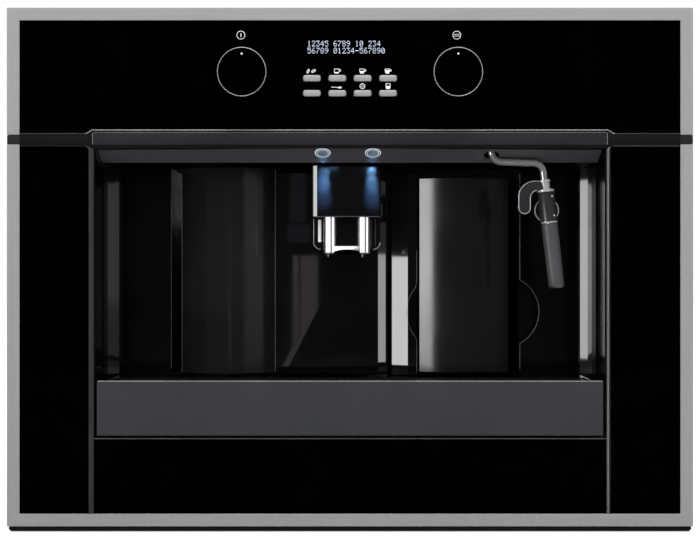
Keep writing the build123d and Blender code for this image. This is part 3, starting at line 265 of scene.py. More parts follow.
ACROSS = (14.0, 1500.0, 1500.0)
UPRIGHT = (1500.0, 1500.0, 14.0)
BACKWARDS = (1500.0, 14.0, 1500.0)
MATERIALS = {
    "trim_across": finish("trim_brushed_across", "brushed", ACROSS, (176, 194), (0.34, 0.48), 0.1, 5e-5,
                          Metallic=0.45),
    "trim_upright": finish("trim_brushed_upright", "brushed", UPRIGHT, (176, 194), (0.34, 0.48), 0.1, 5e-5,
                           Metallic=0.45),
    "polished": finish("polished_steel", "handled", 35.0, (214, 200), (0.12, 0.2), Metallic=0.85),
    # Painted highlights: bright, grey and dim finishes for beads that stand for light caught on edges; the
    # bright one is also used on the rims of the knobs, dial and collar
    "line": finish("bright_edge_line", "handled", 60.0, (205, 190), (0.22, 0.34), Metallic=0.5),
    "rim": finish("grey_edge_line", "handled", 60.0, (120, 104), (0.22, 0.34), Metallic=0.5),
    "faint": finish("dim_edge_line", "handled", 60.0, (70, 60), (0.3, 0.42), Metallic=0.3),
    "glass": finish("black_glass", "handled", 22.0, (0.4, 1), (0.03, 0.06), gloss=0.02),
    "gloss": finish("black_gloss_moulding", "handled", 18.0, (8, 12), (0.10, 0.17)),
    "edge": finish("gloss_edge", "handled", 18.0, (10, 13), (0.05, 0.08), gloss=1.0),
    "mirror": finish("mirror_edge", "handled", 18.0, (10, 13), (0.02, 0.035), gloss=1.0),
    "liner": finish("niche_wall_gloss", "handled", 10.0, (4, 7), (0.10, 0.16), gloss=0.25),
    "door": finish("door_gloss", "handled", 12.0, ((22, 22, 24), (27, 27, 29)), (0.16, 0.22), gloss=0.3),
    "flat": finish("flat_black_gloss", "handled", 12.0, ((7, 7, 8), (9, 9, 10)), (0.03, 0.05), gloss=0.3),
    "tank": finish("tank_front_gloss", "handled", 12.0, ((15, 15, 17), (19, 19, 21)), (0.17, 0.23),
                   gloss=0.6),
    "spout": finish("spout_satin", "handled", 26.0, ((7, 7, 10), (9, 9, 12)), (0.2, 0.28), gloss=0.3),
    "hook": finish("hook_moulding", "handled", 24.0, ((40, 40, 43), (48, 48, 51)), (0.2, 0.3), gloss=0.4),
    "grid": finish("grid_steel", "brushed", ACROSS, (84, 104), (0.2, 0.3), 0.08, 5e-5, Metallic=0.85),
    "satin": finish("dark_satin_moulding", "moulded", 900.0, (24, 32), (0.38, 0.55), 0.15),
    # Painted shade: a near-black moulding for faces where shade falls
    "shadow": finish("unlit_moulding", "moulded", 900.0, (3, 6), (0.5, 0.65), 0.15, gloss=0.2),
    "collar": finish("collar_moulding", "moulded", 800.0, ((36, 36, 39), (44, 44, 47)), (0.26, 0.36), 0.12),
    "sleeve": finish("sleeve_moulding", "moulded", 800.0, ((66, 66, 69), (77, 77, 80)), (0.3, 0.42), 0.12),
    "band": finish("band_satin", "moulded", 700.0, ((30, 30, 33), (43, 43, 46)), (0.36, 0.5), 0.2, gloss=0.3),
    "wing": finish("band_wing_satin", "moulded", 700.0, ((17, 17, 19), (22, 22, 24)), (0.36, 0.5), 0.2,
                   gloss=0.2),
    "ceiling": finish("ceiling_satin", "moulded", 600.0, ((64, 63, 67), (76, 75, 79)), (0.3, 0.42), 0.12),
    "tray": finish("tray_grey", "moulded", 500.0, ((52, 53, 57), (58, 59, 63)), (0.45, 0.6), 0.12, gloss=0.3),
    "key": finish("silver_key", "moulded", 1100.0, (196, 214), (0.3, 0.42), 0.1, 5e-5, Metallic=0.55),
    "zinc": finish("zinc_sheet", "spangle", 110.0, ((158, 160, 163), (190, 192, 194)), (0.34, 0.5), 0.08,
                   Metallic=0.8),
    # Painted shade: zinc darkened to stand for the shade in the gaps that show it
    "dim_zinc": finish("dark_zinc_sheet", "spangle", 110.0, ((24, 25, 26), (38, 39, 40)), (0.4, 0.55), 0.08,
                       Metallic=0.5),
    "rail": finish("rail_zinc", "brushed", BACKWARDS, ((176, 177, 180), (204, 205, 208)), (0.24, 0.36), 0.08,
                   5e-5, Metallic=0.95),
    "strip": finish("edge_strip_aluminium", "brushed", UPRIGHT, (64, 84), (0.3, 0.42), 0.06, 5e-5,
                    Metallic=0.6),
    "cast": finish("cast_aluminium", "moulded", 420.0, ((160, 161, 163), (190, 191, 193)), (0.45, 0.62), 0.5,
                   3e-4, Metallic=0.85),
    "grey": finish("grey_moulding", "moulded", 650.0, ((110, 112, 114), (126, 128, 130)), (0.45, 0.6), 0.2,
                   1.5e-4),
    "smoked": finish("smoked_moulding", "handled", 16.0, ((52, 54, 56), (58, 60, 62)), (0.08, 0.16), IOR=1.49,
                     Transmission_Weight=0.55),
    "board": finish("circuit_board", "tracks", 260.0, ((150, 118, 60), (24, 84, 52)), (0.35, 0.5), 0.3),
    "lens": finish("lamp_lens", "handled", 90.0, ((84, 92, 104), (120, 130, 144)), (0.1, 0.2),
                   Emission_Color=(0.45, 0.7, 1.0, 1.0), Emission_Strength=0.06),
    "lit": finish("lamp_rim_lit", "handled", 90.0, ((225, 236, 250), (240, 246, 255)), (0.1, 0.2),
                  Emission_Color=(0.78, 0.9, 1.0, 1.0), Emission_Strength=0.3),
    "print": finish("white_print", "moulded", 1500.0, (232, 244), (0.4, 0.5), Emission_Color=(1, 1, 1, 1),
                    Emission_Strength=0.12),
    "digits": finish("display_digits", "moulded", 1500.0, ((200, 212, 238), (218, 228, 248)), (0.4, 0.5),
                     Emission_Color=(0.74, 0.82, 1.0, 1.0), Emission_Strength=0.6),
}


# ---------------------------------------------------------------- mesh helpers
def ring_of(bm, points):
    """New vertices at these points."""
    return [bm.verts.new(p) for p in points]


def bridged(bm, rings, finish_index=0):
    """Closed bands of faces between neighbouring rings of the same length."""
    for a, b in zip(rings, rings[1:]):
        for i in range(max(len(a), len(b))):
            corners = [a[i % len(a)], a[(i + 1) % len(a)], b[(i + 1) % len(b)], b[i % len(b)]]
            face = bm.faces.new(list(dict.fromkeys(corners)))
            face.material_index = finish_index


def inset(outline, amount):
    """A closed outline of (x, z) points, moved inwards by an amount; it runs anticlockwise."""
    moved = []
    count = len(outline)
    for i, (x, z) in enumerate(outline):
        ax, az = outline[i - 1]
        bx, bz = outline[(i + 1) % count]
        n1 = Vector((-(z - az), x - ax)).normalized()
        n2 = Vector((-(bz - z), bx - x)).normalized()
        middle = (n1 + n2).normalized()
        reach = amount / max(0.35, middle.dot(n1))
        moved.append((x + middle.x * reach, z + middle.y * reach))
    return moved


def plate(bm, outline, front, back, edge=0.0, steps=3, finish_index=0, crown=()):
    """A plate between two depths with a rounded front edge; crown gives (inset, rise) rings."""
    rings = [(outline, back)]
    for k in range(steps + 1 if edge else 1):
        turn = math.pi / 2 * k / steps
        rings.append((inset(outline, edge * (1 - math.cos(turn))), front + edge * (1 - math.sin(turn))))
    for amount, rise in crown:
        rings.append((inset(outline, edge + amount), front - rise))
    made = [ring_of(bm, [at(x, depth, z) for x, z in line]) for line, depth in rings]
    bridged(bm, made, finish_index)
    for ring in (made[0], made[-1]):
        bm.faces.new(ring).material_index = finish_index


def arc(x, z, radius, start, end, steps):
    """Points (x, z) on an arc round a centre, between two angles in degrees."""
    turns = [math.radians(start + (end - start) * k / steps) for k in range(steps + 1)]
    return [(x + radius * math.cos(turn), z + radius * math.sin(turn)) for turn in turns]


def rounded(x, z, width, height, corner):
    """The outline of a rounded rectangle round (x, z), anticlockwise."""
    made = []
    for sx, sz, start in ((1, 1, 0), (-1, 1, 90), (-1, -1, 180), (1, -1, 270)):
        middle = (x + sx * (width / 2 - corner), z + sz * (height / 2 - corner))
        made += arc(*middle, corner, start, start + 90, 6)
    return made


def slanted(name, x, width, body, rise):
    """A thin upright mirror plate on the niche's back whose depth changes with X."""
    bm = bmesh.new()
    plate(bm, rounded(x, 227.0, width, 187.6, 0.6), DOOR_FACE - 0.1, DOOR_FACE + 0.5)
    for vert in bm.verts:
        vert.co.y += rise(vert.co.x * 1000) / 1000
    return piece(name, bm, ("mirror",), body)


def leaning(x, z, u, v, turn):
    """The point u across and v up from (x, z), turned about it by an angle in radians."""
    return x + u * math.cos(turn) - v * math.sin(turn), z + u * math.sin(turn) + v * math.cos(turn)


def oval(x, z, a, b, lean=0.0, steps=24):
    """An ellipse's outline, leaning by an angle in degrees."""
    turn = math.radians(lean)
    made = []
    for k in range(steps):
        t = 2 * math.pi * k / steps
        made.append(leaning(x, z, a * math.cos(t), b * math.sin(t), turn))
    return made


def turned(bm, centre, axis, profile, steps=64, wave=None):
    """A turned form: the profile gives (radius, distance along the axis) in millimetres.

    A third number in a row is the finish from there on, which is 0 without it.
    """
    axis = Vector(axis).normalized()
    side = Vector((1, 0, 0)) if abs(axis.x) < 0.5 else Vector((0, 1, 0))
    side = (side - axis * side.dot(axis)).normalized()
    other = axis.cross(side)
    rings = []
    for radius, along, *_ in profile:
        if radius == 0:
            rings.append([bm.verts.new(centre + axis * along / 1000)])
            continue
        ring = []
        for k in range(steps):
            t = 2 * math.pi * k / steps
            shift = wave(t, along) if wave else 0.0
            ring.append(bm.verts.new(centre + (side * math.cos(t) + other * math.sin(t)) * radius / 1000
                                     + axis * (along + shift) / 1000))
        rings.append(ring)
    for k in range(len(profile) - 1):
        bridged(bm, rings[k:k + 2], *profile[k][2:])


def bead(bm, depth, points, radius, finish_index=0):
    """A round bar with closed ends along (x, z) points at one depth."""
    rings, sides = [], 10
    path = [at(x, depth, z) for x, z in points]
    for i, p in enumerate(path):
        run = (path[min(i + 1, len(path) - 1)] - path[max(i - 1, 0)]).normalized()
        across = Vector((-run.z, 0, run.x))
        rings.append([])
        for k in range(sides):
            turn = 2 * math.pi * k / sides
            spoke = across * math.cos(turn) + Vector((0, 1, 0)) * math.sin(turn)
            rings[-1].append(bm.verts.new(p + spoke * radius / 1000))
    bridged(bm, rings, finish_index)
    for ring in (rings[0], rings[-1]):
        bm.faces.new(ring).material_index = finish_index


def piece(name, bm, finishes, body, nodes=(), smooth=35, edge=0.0):
    """The finished mesh as an object on its body; it stands for the CAD nodes that are named."""
    bmesh.ops.remove_doubles(bm, verts=bm.verts[:], dist=1e-7)
    bmesh.ops.recalc_face_normals(bm, faces=bm.faces[:])
    mesh = bpy.data.meshes.new(name)
    bm.to_mesh(mesh)
    bm.free()
    return placed(name, mesh, finishes, body, nodes, smooth, edge)


def shades_flat(mesh, polygon, key):
    """Narrow flats, and faces more than 18 mm wide, whose reflections no neighbour may bend."""
    corners = [mesh.vertices[index].co for index in polygon.vertices]
    reach = max((corner - corners[0]).length for corner in corners)
    return key in ("flat", "edge", "mirror") or polygon.area > 0.018 * reach


def placed(name, mesh, finishes, body, nodes=(), smooth=35, edge=0.0):
    """The mesh with its finishes as an object on its body, with broken edges if edge is given."""
    mesh.name = name
    chosen = [polygon.material_index for polygon in mesh.polygons]
    mesh.materials.clear()
    for key in finishes:
        mesh.materials.append(MATERIALS[key])
    mesh.polygons.foreach_set("material_index", chosen)
    last = len(finishes) - 1
    mesh.polygons.foreach_set("use_smooth", [not shades_flat(mesh, polygon, finishes[min(index, last)])
                                             for polygon, index in zip(mesh.polygons, chosen)])
    mesh.set_sharp_from_angle(angle=math.radians(smooth))
    made = bpy.data.objects.new(name, mesh)
    scene.collection.objects.link(made)
    if edge:
        bevel = made.modifiers.new("broken_edges", "BEVEL")
        bevel.width = edge / 1000
        bevel.segments = 2
        bevel.limit_method = "ANGLE"
        bevel.angle_limit = math.radians(30)
        bevel.harden_normals = True
    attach(made, body)
    if nodes:
        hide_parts(*nodes)
    return made


def cad_form(name):
    """A copy of a CAD node's mesh with its loose triangles merged into whole faces."""
    bm = bmesh.new()
    bm.from_mesh(frame["nodes"][name].data)
    bmesh.ops.remove_doubles(bm, verts=bm.verts[:], dist=2e-6)
    bmesh.ops.dissolve_limit(bm, angle_limit=math.radians(0.6), verts=bm.verts[:], edges=bm.edges[:])
    return bm


def softened(name, finishes, edge=0.4, smooth=35, paint=None, reshape=None, cut=()):
    """The CAD node's own form with broken edges and a finish.

    cut gives planes, as a point and a normal, where faces are split. reshape takes a point as X,
    depth and Z and gives where it goes. paint takes the same of a face's middle, and the face's
    normal, and gives which of the finishes it has.
    """
    bm = cad_form(name)
    for point, normal in cut:
        bmesh.ops.bisect_plane(bm, geom=bm.verts[:] + bm.edges[:] + bm.faces[:], dist=1e-6, plane_co=point,
                               plane_no=Vector(normal))
    if reshape:
        for vert in bm.verts:
            x, y, z = vert.co * 1000
            vert.co = at(*reshape(x, y - FRONT_Y, z))
    if paint:
        for face in bm.faces:
            x, y, z = face.calc_center_median() * 1000
            face.material_index = int(paint(x, y - FRONT_Y, z, face.normal))
    source = frame["nodes"][name]
    return piece(f"{name}_finished", bm, finishes, source["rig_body"], (name,), smooth, edge)


# ---------------------------------------------------------------- geometry node trees
def tree_of(name, inputs):
    """An empty geometry tree with a Geometry input and output, and named number inputs."""
    tree = bpy.data.node_groups.new(name, "GeometryNodeTree")
    tree.interface.new_socket("Geometry", in_out="INPUT", socket_type="NodeSocketGeometry")
    for title, value in inputs:
        tree.interface.new_socket(title, in_out="INPUT", socket_type="NodeSocketFloat").default_value = value
    tree.interface.new_socket("Geometry", in_out="OUTPUT", socket_type="NodeSocketGeometry")
    return tree, tree.nodes.new("NodeGroupInput").outputs


def vector_of(tree, x, y, z):
    """Three values or sockets as one vector."""
    return node(tree, "ShaderNodeCombineXYZ", {0: x, 1: y, 2: z}).outputs[0]


def millimetres(tree, x, y, z):
    """A size in millimetres as a vector in metres."""
    return node(tree, "ShaderNodeVectorMath", {0: vector_of(tree, x, y, z), "Scale": 0.001},
                operation="SCALE").outputs[0]


def carried(tree, name):
    """A vector that each point carries."""
    return node(tree, "GeometryNodeInputNamedAttribute", {"Name": name}, data_type="FLOAT_VECTOR").outputs[0]


def moved(tree, geometry, **change):
    """The geometry moved, turned or scaled."""
    return node(tree, "GeometryNodeTransform", {0: geometry, **change}).outputs[0]


def close_tree(tree, finish_name, **spots):
    """Puts a form on each point, makes the instances real, gives them their finish and ends the tree."""
    forms = node(tree, "GeometryNodeInstanceOnPoints", spots)
    real = node(tree, "GeometryNodeRealizeInstances", {0: forms.outputs[0]})
    dressed = node(tree, "GeometryNodeSetMaterial",
                   {"Geometry": real.outputs[0], "Material": MATERIALS[finish_name]})
    node(tree, "NodeGroupOutput", {0: dressed.outputs[0]})
    return tree


def screw_tree():
    """A pan head with a crossed recess on each point, turned to the point's facing."""
    tree, given = tree_of("pan_head_screws", [("Head Radius", 2.6), ("Head Height", 0.3)])
    ball = node(tree, "GeometryNodeMeshUVSphere", {"Segments": 20, "Rings": 10, "Radius": 1.0}).outputs[0]
    bar = node(tree, "GeometryNodeMeshCube", {"Size": (1.1, 0.26, 1.2)}).outputs[0]
    groove = moved(tree, bar, Translation=(0, 0, 1.1))
    join = node(tree, "GeometryNodeJoinGeometry", {0: groove})
    tree.links.new(moved(tree, groove, Rotation=(0, 0, math.pi / 2)), join.inputs[0])
    head = node(tree, "GeometryNodeMeshBoolean", {"Mesh 1": ball, "Mesh 2": join.outputs[0]},
                operation="DIFFERENCE")
    size = millimetres(tree, given["Head Radius"], given["Head Radius"], given["Head Height"])
    turn = node(tree, "FunctionNodeAlignRotationToVector", {"Vector": carried(tree, "facing")}, axis="Z")
    return close_tree(tree, "rail", Points=given["Geometry"], Rotation=turn.outputs[0],
                      Instance=moved(tree, head.outputs[0], Scale=size))


def dot_tree():
    """A small lit square with cut corners on each point, as in a dot matrix display."""
    tree, given = tree_of("dot_matrix", [("Dot Width", 0.5), ("Dot Height", 0.62)])
    dot = node(tree, "GeometryNodeMeshCylinder", {"Vertices": 8, "Radius": 0.5, "Depth": 0.08}).outputs[0]
    stand = moved(tree, dot, Rotation=(math.pi / 2, math.pi / 8, 0))
    size = millimetres(tree, given["Dot Width"], 1.0, given["Dot Height"])
    return close_tree(tree, "digits", Points=given["Geometry"], Instance=moved(tree, stand, Scale=size))


def bar_tree(finish_name):
    """A rounded bar on each point; its length, width and thickness come from the point."""
    tree, given = tree_of(f"bars_{finish_name}", [("Flatness", 1.0)])
    rod = node(tree, "GeometryNodeMeshCylinder", {"Vertices": 12, "Radius": 0.5, "Depth": 1.0}).outputs[0]
    flat = vector_of(tree, 1.0, given["Flatness"], 1.0)
    size = node(tree, "ShaderNodeVectorMath", {0: carried(tree, "size"), 1: flat}, operation="MULTIPLY")
    turn = node(tree, "FunctionNodeAxesToRotation",
                {0: carried(tree, "run"), 1: vector_of(tree, 0.0, 0.0, 1.0)},
                primary_axis="Z", secondary_axis="Y")
    return close_tree(tree, finish_name, Points=given["Geometry"], Instance=rod, Rotation=turn.outputs[0],
                      Scale=size.outputs[0])


def grown(name, tree, points, attributes, finishes, body, slot, nodes=(), smooth=35, **inputs):
    """Runs a geometry tree on points and keeps the result as a plain mesh on its body."""
    seed_mesh = bpy.data.meshes.new(name + "_points")
    seed_mesh.from_pydata(points, [], [])
    for title, values in attributes.items():
        layer = seed_mesh.attributes.new(title, "FLOAT_VECTOR", "POINT")
        layer.data.foreach_set("vector", [c for v in values for c in v])
    seed = bpy.data.objects.new(name + "_points", seed_mesh)
    scene.collection.objects.link(seed)
    modifier = seed.modifiers.new("tree", "NODES")
    modifier.node_group = tree
    for item in tree.interface.items_tree:
        if item.in_out == "INPUT" and item.name.replace(" ", "_") in inputs:
            modifier[item.identifier] = float(inputs[item.name.replace(" ", "_")])
    graph = bpy.context.evaluated_depsgraph_get()
    mesh = bpy.data.meshes.new_from_object(seed.evaluated_get(graph))
    bpy.data.objects.remove(seed)
    return placed(name, mesh, finishes, body, nodes, smooth)


# ---------------------------------------------------------------- fascia
for name, corner_z, rise in (("upper_trim", TRIM_TOP, 1), ("lower_trim", TRIM_BOTTOM, -1)):
    mitres = [(at(side * TRIM_HALF, 0, corner_z), (side, 0, -rise)) for side in (1, -1)]
    softened(name, ("trim_across", "trim_upright"), 0.5, cut=mitres,
             paint=lambda x, depth, z, normal: TRIM_HALF - abs(x) < abs(corner_z - z))
softened("bottom_strip", ("wing",), 0.5)
for pane in ("control_glass", "side_glasses", "lower_glass"):
    softened(pane, ("glass",), 0.35)
# Painted shade: the front carrier, seen through the gaps in the fascia, is as dark as shade
softened("front_carrier", ("shadow",), 0.3)
softened("niche_edge_strips", ("strip",), 0.4)


def step_path(wing_z, mid_z, side):
    """The band's curved step from its wing to its middle, on one side, as (x, z) points."""
    made = []
    for k in range(13):
        t = k / 12
        s = t * t * (3 - 2 * t)
        x = BAND_STEP_X[1] + (BAND_STEP_X[0] - BAND_STEP_X[1]) * t
        made.append((side * x, wing_z + (mid_z - wing_z) * s))
    return made


def band_side(level):
    """The band's upper or lower edge from the left end to the right end."""
    wing, mid, end = BAND_WING_Z[level], BAND_MID_Z[level], BAND_END_Z[level]
    left = [(-BAND_END, end), (-BAND_WING_END, end), (-BAND_WING_END, wing)] + step_path(wing, mid, -1)
    return left + [(-x, z) for x, z in reversed(left)]


band = bmesh.new()
plate(band, band_side(0) + list(reversed(band_side(1))), -0.3, 4.4, 0.3, 2, finish_index=1)
plate(band, rounded(0, 341.3, 446.6, 11.0, 2.2), -1.5, -0.2, 0.5, 3)
for side in (-1, 1):
    end_x, end_width = side * (BAND_WING_END + BAND_END) / 2, BAND_END - BAND_WING_END
    plate(band, rounded(end_x, sum(BAND_END_Z) / 2, end_width, 7.3, 0.4), -0.4, -0.2, 0.1)
piece("centre_band_bar", band, ("band", "wing"), "machine", ("centre_band",))

# Bright beads along the band's edges, its bar's ends and the lower glass's top edge are painted highlights,
# standing for light the edges catch
lines = bmesh.new()
upper = [(x, z - 0.35 - 0.7 * (z > BAND_MID_Z[1] - 0.1)) for x, z in band_side(1)[2:-2]]
bead(lines, -0.35, upper[1:-1], 0.34)
for wing in (upper[:2], upper[-2:]):
    bead(lines, -0.35, wing, 0.34, 2)
bead(lines, -1.4, [(-222.0, 346.5), (222.0, 346.5)], 0.32, 1)
for side, shift, key in ((-1, 1.5, 2), (-1, 0.8, 2), (-1, 0.1, 2), (1, -0.9, 0)):
    wing_end, turn_x, line_z = (side * (BAND_WING_END - 0.2), side * (228.8 + shift), BAND_WING_Z[0] + 0.3)
    bead(lines, 0.1, [(wing_end, line_z), (turn_x, line_z)], 0.5, 2)
    corner = arc(turn_x, line_z - 4.2, 4.2, 90, 90 + 90 * side, 8)
    bead(lines, 0.1, corner + [(turn_x - side * 4.2, 17.0)], 0.38, key)
bead(lines, 0.4, [(-222.0, 81.2), (222.0, 81.2)], 0.24, 1)
for x in (-222.9, 222.9):
    bead(lines, -1.2, [(x, 336.4), (x, 346.2)], 0.3)
piece("glass_edge_lines", lines, ("line", "rim", "faint"), "machine")

# ---------------------------------------------------------------- knobs, keys, print and display
KNOB_PROFILE = [(0, -15), (3, -15), (3, 0, 4), (20.4, 0.2, 4), (21.0, 0.7, 4), (21.2, 1.4, 4), (21.2, 15.2, 3),
                (21.15, 15.5, 3), (21.0, 15.8, 3), (20.8, 15.92, 3), (20.6, 15.8, 3), (20.45, 15.5, 1),
                (20.3, 15.5, 1), (20.2, 15.75, 1), (19.8, 15.88, 1), (10.0, 15.95, 1), (0, 15.96, 1)]
for name, side, body in (("selector_knob", -1, "selector"), ("steam_knob", 1, "steam_control")):
    knob = bmesh.new()
    centre = at(side * KNOB_X, 0, KNOB_Z)
    turned(knob, centre, (0, -1, 0), KNOB_PROFILE, 96)
    plate(knob, oval(side * KNOB_X, KNOB_Z + 15.4, 0.8, 0.8), -16.0, -15.9, finish_index=2)
    piece(f"{name}_turned", knob, ("rail", "glass", "print", "line", "gloss"), body, (name,))

for number in range(8):
    x, z = (number % 4 - 1.5) * KEY_PITCH, KEY_ROWS[number // 4]
    key = bmesh.new()
    plate(key, rounded(x, z, *KEY_SIZE, KEY_CORNER), -1.15, 4.8, 0.5, 3, crown=((0.6, 0.22), (1.2, 0.32)))
    plate(key, rounded(x, z, KEY_SIZE[0] + 3, KEY_SIZE[1] + 3, KEY_CORNER + 1.5), 4.8, 6.0)
    turned(key, at(x, 6.0, z), (0, 1, 0), [(0, -0.2), (1.5, -0.2), (1.5, 0.9), (0, 0.9)], 20)
    piece(f"key_{number + 1}_cap", key, ("key",), f"button_{number + 1}",
          (f"key_{number + 1}",))


def printed(bm, outline):
    """A printed shape on the glass."""
    plate(bm, outline, GLASS_FRONT - 0.06, GLASS_FRONT + 0.05)


def printed_bar(bm, x, z, width, height, lean=0.0):
    """A printed bar that leans by an angle in degrees."""
    corners = ((1, 1), (-1, 1), (-1, -1), (1, -1))
    printed(bm, [leaning(x, z, sx * width / 2, sz * height / 2, math.radians(lean)) for sx, sz in corners])


def printed_ring(bm, x, z, radius, width):
    """A printed ring with this outer radius and line width."""
    outer, inner = oval(x, z, radius, radius, steps=40), oval(x, z, radius - width, radius - width, steps=40)
    rings = [ring_of(bm, [at(px, depth, pz) for px, pz in line])
             for line, depth in ((outer, GLASS_FRONT + 0.05), (outer, GLASS_FRONT - 0.06),
                                 (inner, GLASS_FRONT - 0.06), (inner, GLASS_FRONT + 0.05))]
    bridged(bm, rings + rings[:1])


def printed_mug(bm, x, z, window):
    """A filled mug with a dark window of this height, and a handle on its right."""
    wide, tall, wall = 4.4, 4.2, 0.42
    top = z + tall / 2
    printed_bar(bm, x, top - wall / 2, wide, wall)
    for side in (-1, 1):
        printed_bar(bm, x + side * (wide - wall) / 2, top - wall - window / 2, wall, window)
    low = top - wall - window
    printed(bm, [(x + wide / 2, low), (x - wide / 2, low), (x - wide / 2 + 0.7, z - tall / 2),
                 (x + wide / 2 - 0.7, z - tall / 2)])
    printed_bar(bm, x + wide / 2 + 0.6, top - 0.9, 1.3, 0.5)
    printed_bar(bm, x + wide / 2 + 1.15, top - 1.6, 0.5, 1.3)
    printed_bar(bm, x + wide / 2 + 0.5, top - 2.3, 1.3, 0.5, 30)


icons = bmesh.new()
printed_ring(icons, -94.6, 431.2, 3.7, 0.42)
printed_bar(icons, -94.6, 431.2, 0.55, 3.2)
printed_ring(icons, 92.6, 431.2, 3.7, 0.4)
printed_bar(icons, 92.6, 432.0, 5.8, 0.34)
printed_bar(icons, 92.6, 430.4, 5.8, 0.34)
icon_z = (KEY_ROWS[0] + 6.3, KEY_ROWS[1] + 6.2)
for x, z, long, wide, lean in ((-36.3, icon_z[0] - 0.1, 2.0, 1.0, 65),
                               (-31.6, icon_z[0] + 0.1, 2.2, 1.2, 28)):
    outer, inner = oval(x, z, long, wide, lean), oval(x, z, long - 0.45, wide - 0.4, lean)
    bridged(icons, [ring_of(icons, [at(px, depth, pz) for px, pz in line]) for line, depth in (
        (outer, GLASS_FRONT + 0.05), (outer, GLASS_FRONT - 0.06), (inner, GLASS_FRONT - 0.06))])
    printed_bar(icons, x, z, 2 * long - 0.9, 0.4, lean + 8)
for place, window in ((-1, 2.6), (1, 1.6), (3, 0.8)):
    printed_mug(icons, place * KEY_PITCH / 2 - 0.6, icon_z[0], window)
printed_bar(icons, -13.4, icon_z[1] - 0.9, 5.8, 0.42, -3)
printed(icons, oval(-8.8, icon_z[1] - 1.1, 1.7, 0.85))
printed_ring(icons, 10.8, icon_z[1], 2.4, 0.45)
for shift in (-0.7, 0.8):
    printed_bar(icons, 10.8 + shift * 0.6, icon_z[1] + shift * 0.6, 3.2, 0.36, -42)
printed_bar(icons, 33.0, icon_z[1] + 2.3, 4.2, 0.45)
for side in (-1, 1):
    printed_bar(icons, 33.0 + side * 1.8, icon_z[1] + 1.2, 0.5, 2.0)
printed(icons, [(35.1, icon_z[1] + 0.2), (30.9, icon_z[1] + 0.2), (31.3, icon_z[1] - 2.5),
                (34.7, icon_z[1] - 2.5)])
piece("control_print", icons, ("print",), "machine")

DIGITS = {"0": "3E5149453E", "1": "00427F4000", "2": "4261514946", "3": "2141454B31", "4": "1814127F10",
          "5": "2745454539", "6": "3C4A494930", "7": "0171090503", "8": "3649494936", "9": "064949291E",
          "-": "0808080808", ":": "0036360000", " ": "0000000000"}
dots = []
for line, top in zip(("12345 6789 10 234", "56789 01234-567890"), DISPLAY_LINES):
    for place, mark in enumerate(line):
        for column in range(5):
            bits = int(DIGITS[mark][2 * column:2 * column + 2], 16)
            for row in range(7):
                if bits >> row & 1:
                    dots.append(at(DISPLAY_LEFT + place * 3.77 + column * 0.6, GLASS_FRONT, top - row * 0.72))
grown("display_numbers", dot_tree(), dots, {}, ("digits",), "machine", "black_glass", Dot_Width=0.48,
      Dot_Height=0.58)

# ---------------------------------------------------------------- niche
CORNERS = {1: ((0, 231.1, 120.0), (30, 225.0, 125.0), (70, 217.0, 129.99), (90, 211.6, NICHE_BACK)),
           -1: ((0, 231.1, 120.0), (50, 222.5, 126.5), (80, 217.5, 129.99), (90, 211.6, NICHE_BACK))}


def niche_wall(x, depth, z):
    """The niche's walls open a little to the back, and narrow flats make its back corners."""
    side = 1 if x > 0 else -1
    across, back = abs(x) - NICHE_CORNER[0], depth - NICHE_CORNER[1]
    if across > 0.01 and back > 0.01 and abs(math.hypot(across, back) - NICHE_CORNER[2]) < 0.05:
        turn = math.degrees(math.atan2(back, across))
        chain = CORNERS[side]
        for (t0, x0, d0), (t1, x1, d1) in zip(chain, chain[1:]):
            if turn <= t1 + 0.01:
                share = (turn - t0) / (t1 - t0)
                return side * (x0 + (x1 - x0) * share), d0 + (d1 - d0) * share, z
    if abs(x) > 220.0 and depth > 5:
        return side * (abs(x) + WALL_OPENING * min(1.0, (depth - 5) / 115)), depth, z
    return x, depth, z


def apron_ends(x, depth, z):
    """The sloping front stops a little short of the walls, and the lamps' holes follow the lamps."""
    if abs(x) > 221 and depth < 26.8:
        return math.copysign(219.6 - (333 - min(z, 333)) * 0.12, x), depth, z
    for lamp in LAMP_X:
        back, rise = depth - LAMP_SEAT[0], z - LAMP_SEAT[1]
        if math.hypot(x - lamp, back * math.cos(APRON_LEAN) - rise * math.sin(APRON_LEAN)) < 7.2:
            return x, depth + LAMP_DEPTH - LAMP_SEAT[0], z + (LAMP_SEAT[0] - LAMP_DEPTH) * APRON_RISE
    return x, depth, z


def paint_liner(x, depth, z, normal):
    """The corner flats are polished more than the walls; the cut edges and the strip behind the door's gap get
    painted shade.
    """
    if abs(x) < 175 and abs(normal.x) > 0.5 or -168.9 < x < 0:
        return 2
    return abs(x) > 215 and depth > 120.1 and abs(normal.x) > 0.3 and normal.y < -0.3


def pillar_face(x, depth, z):
    """The pillar's face turns away to the left."""
    if depth < 107.2:
        return x, DOOR_FACE + max(0, PILLAR_EDGE - x) * PILLAR_SLOPE + max(0, x - PILLAR_EDGE) * 0.1, z
    return x, depth, z


liner_left, liner_right = (
    softened(name, ("liner", "edge", "shadow"), 0.0, smooth=3, reshape=niche_wall, paint=paint_liner,
             cut=[(at(-169.0, 0, 0), (1, 0, 0))]) for name in ("liner_left", "liner_right"))
# The ceiling behind the sloping front has painted shade
ceiling = softened("niche_ceiling", ("ceiling", "shadow"), 0.6, reshape=apron_ends,
                   paint=lambda x, depth, z, normal: depth > 25.5)  # behind the sloping front it is dark
softened("centre_pillar", ("flat", "edge"), 0.0, smooth=12, reshape=pillar_face,
         cut=[(at(PILLAR_EDGE, 0, 0), (1, 0, 0))],
         paint=lambda x, depth, z, normal: normal.y < -0.5 and x < PILLAR_EDGE)
pillar_band = slanted("pillar_face_plate", 46.5, 14.6, "machine", lambda x: (PILLAR_EDGE - x) * PILLAR_SLOPE)
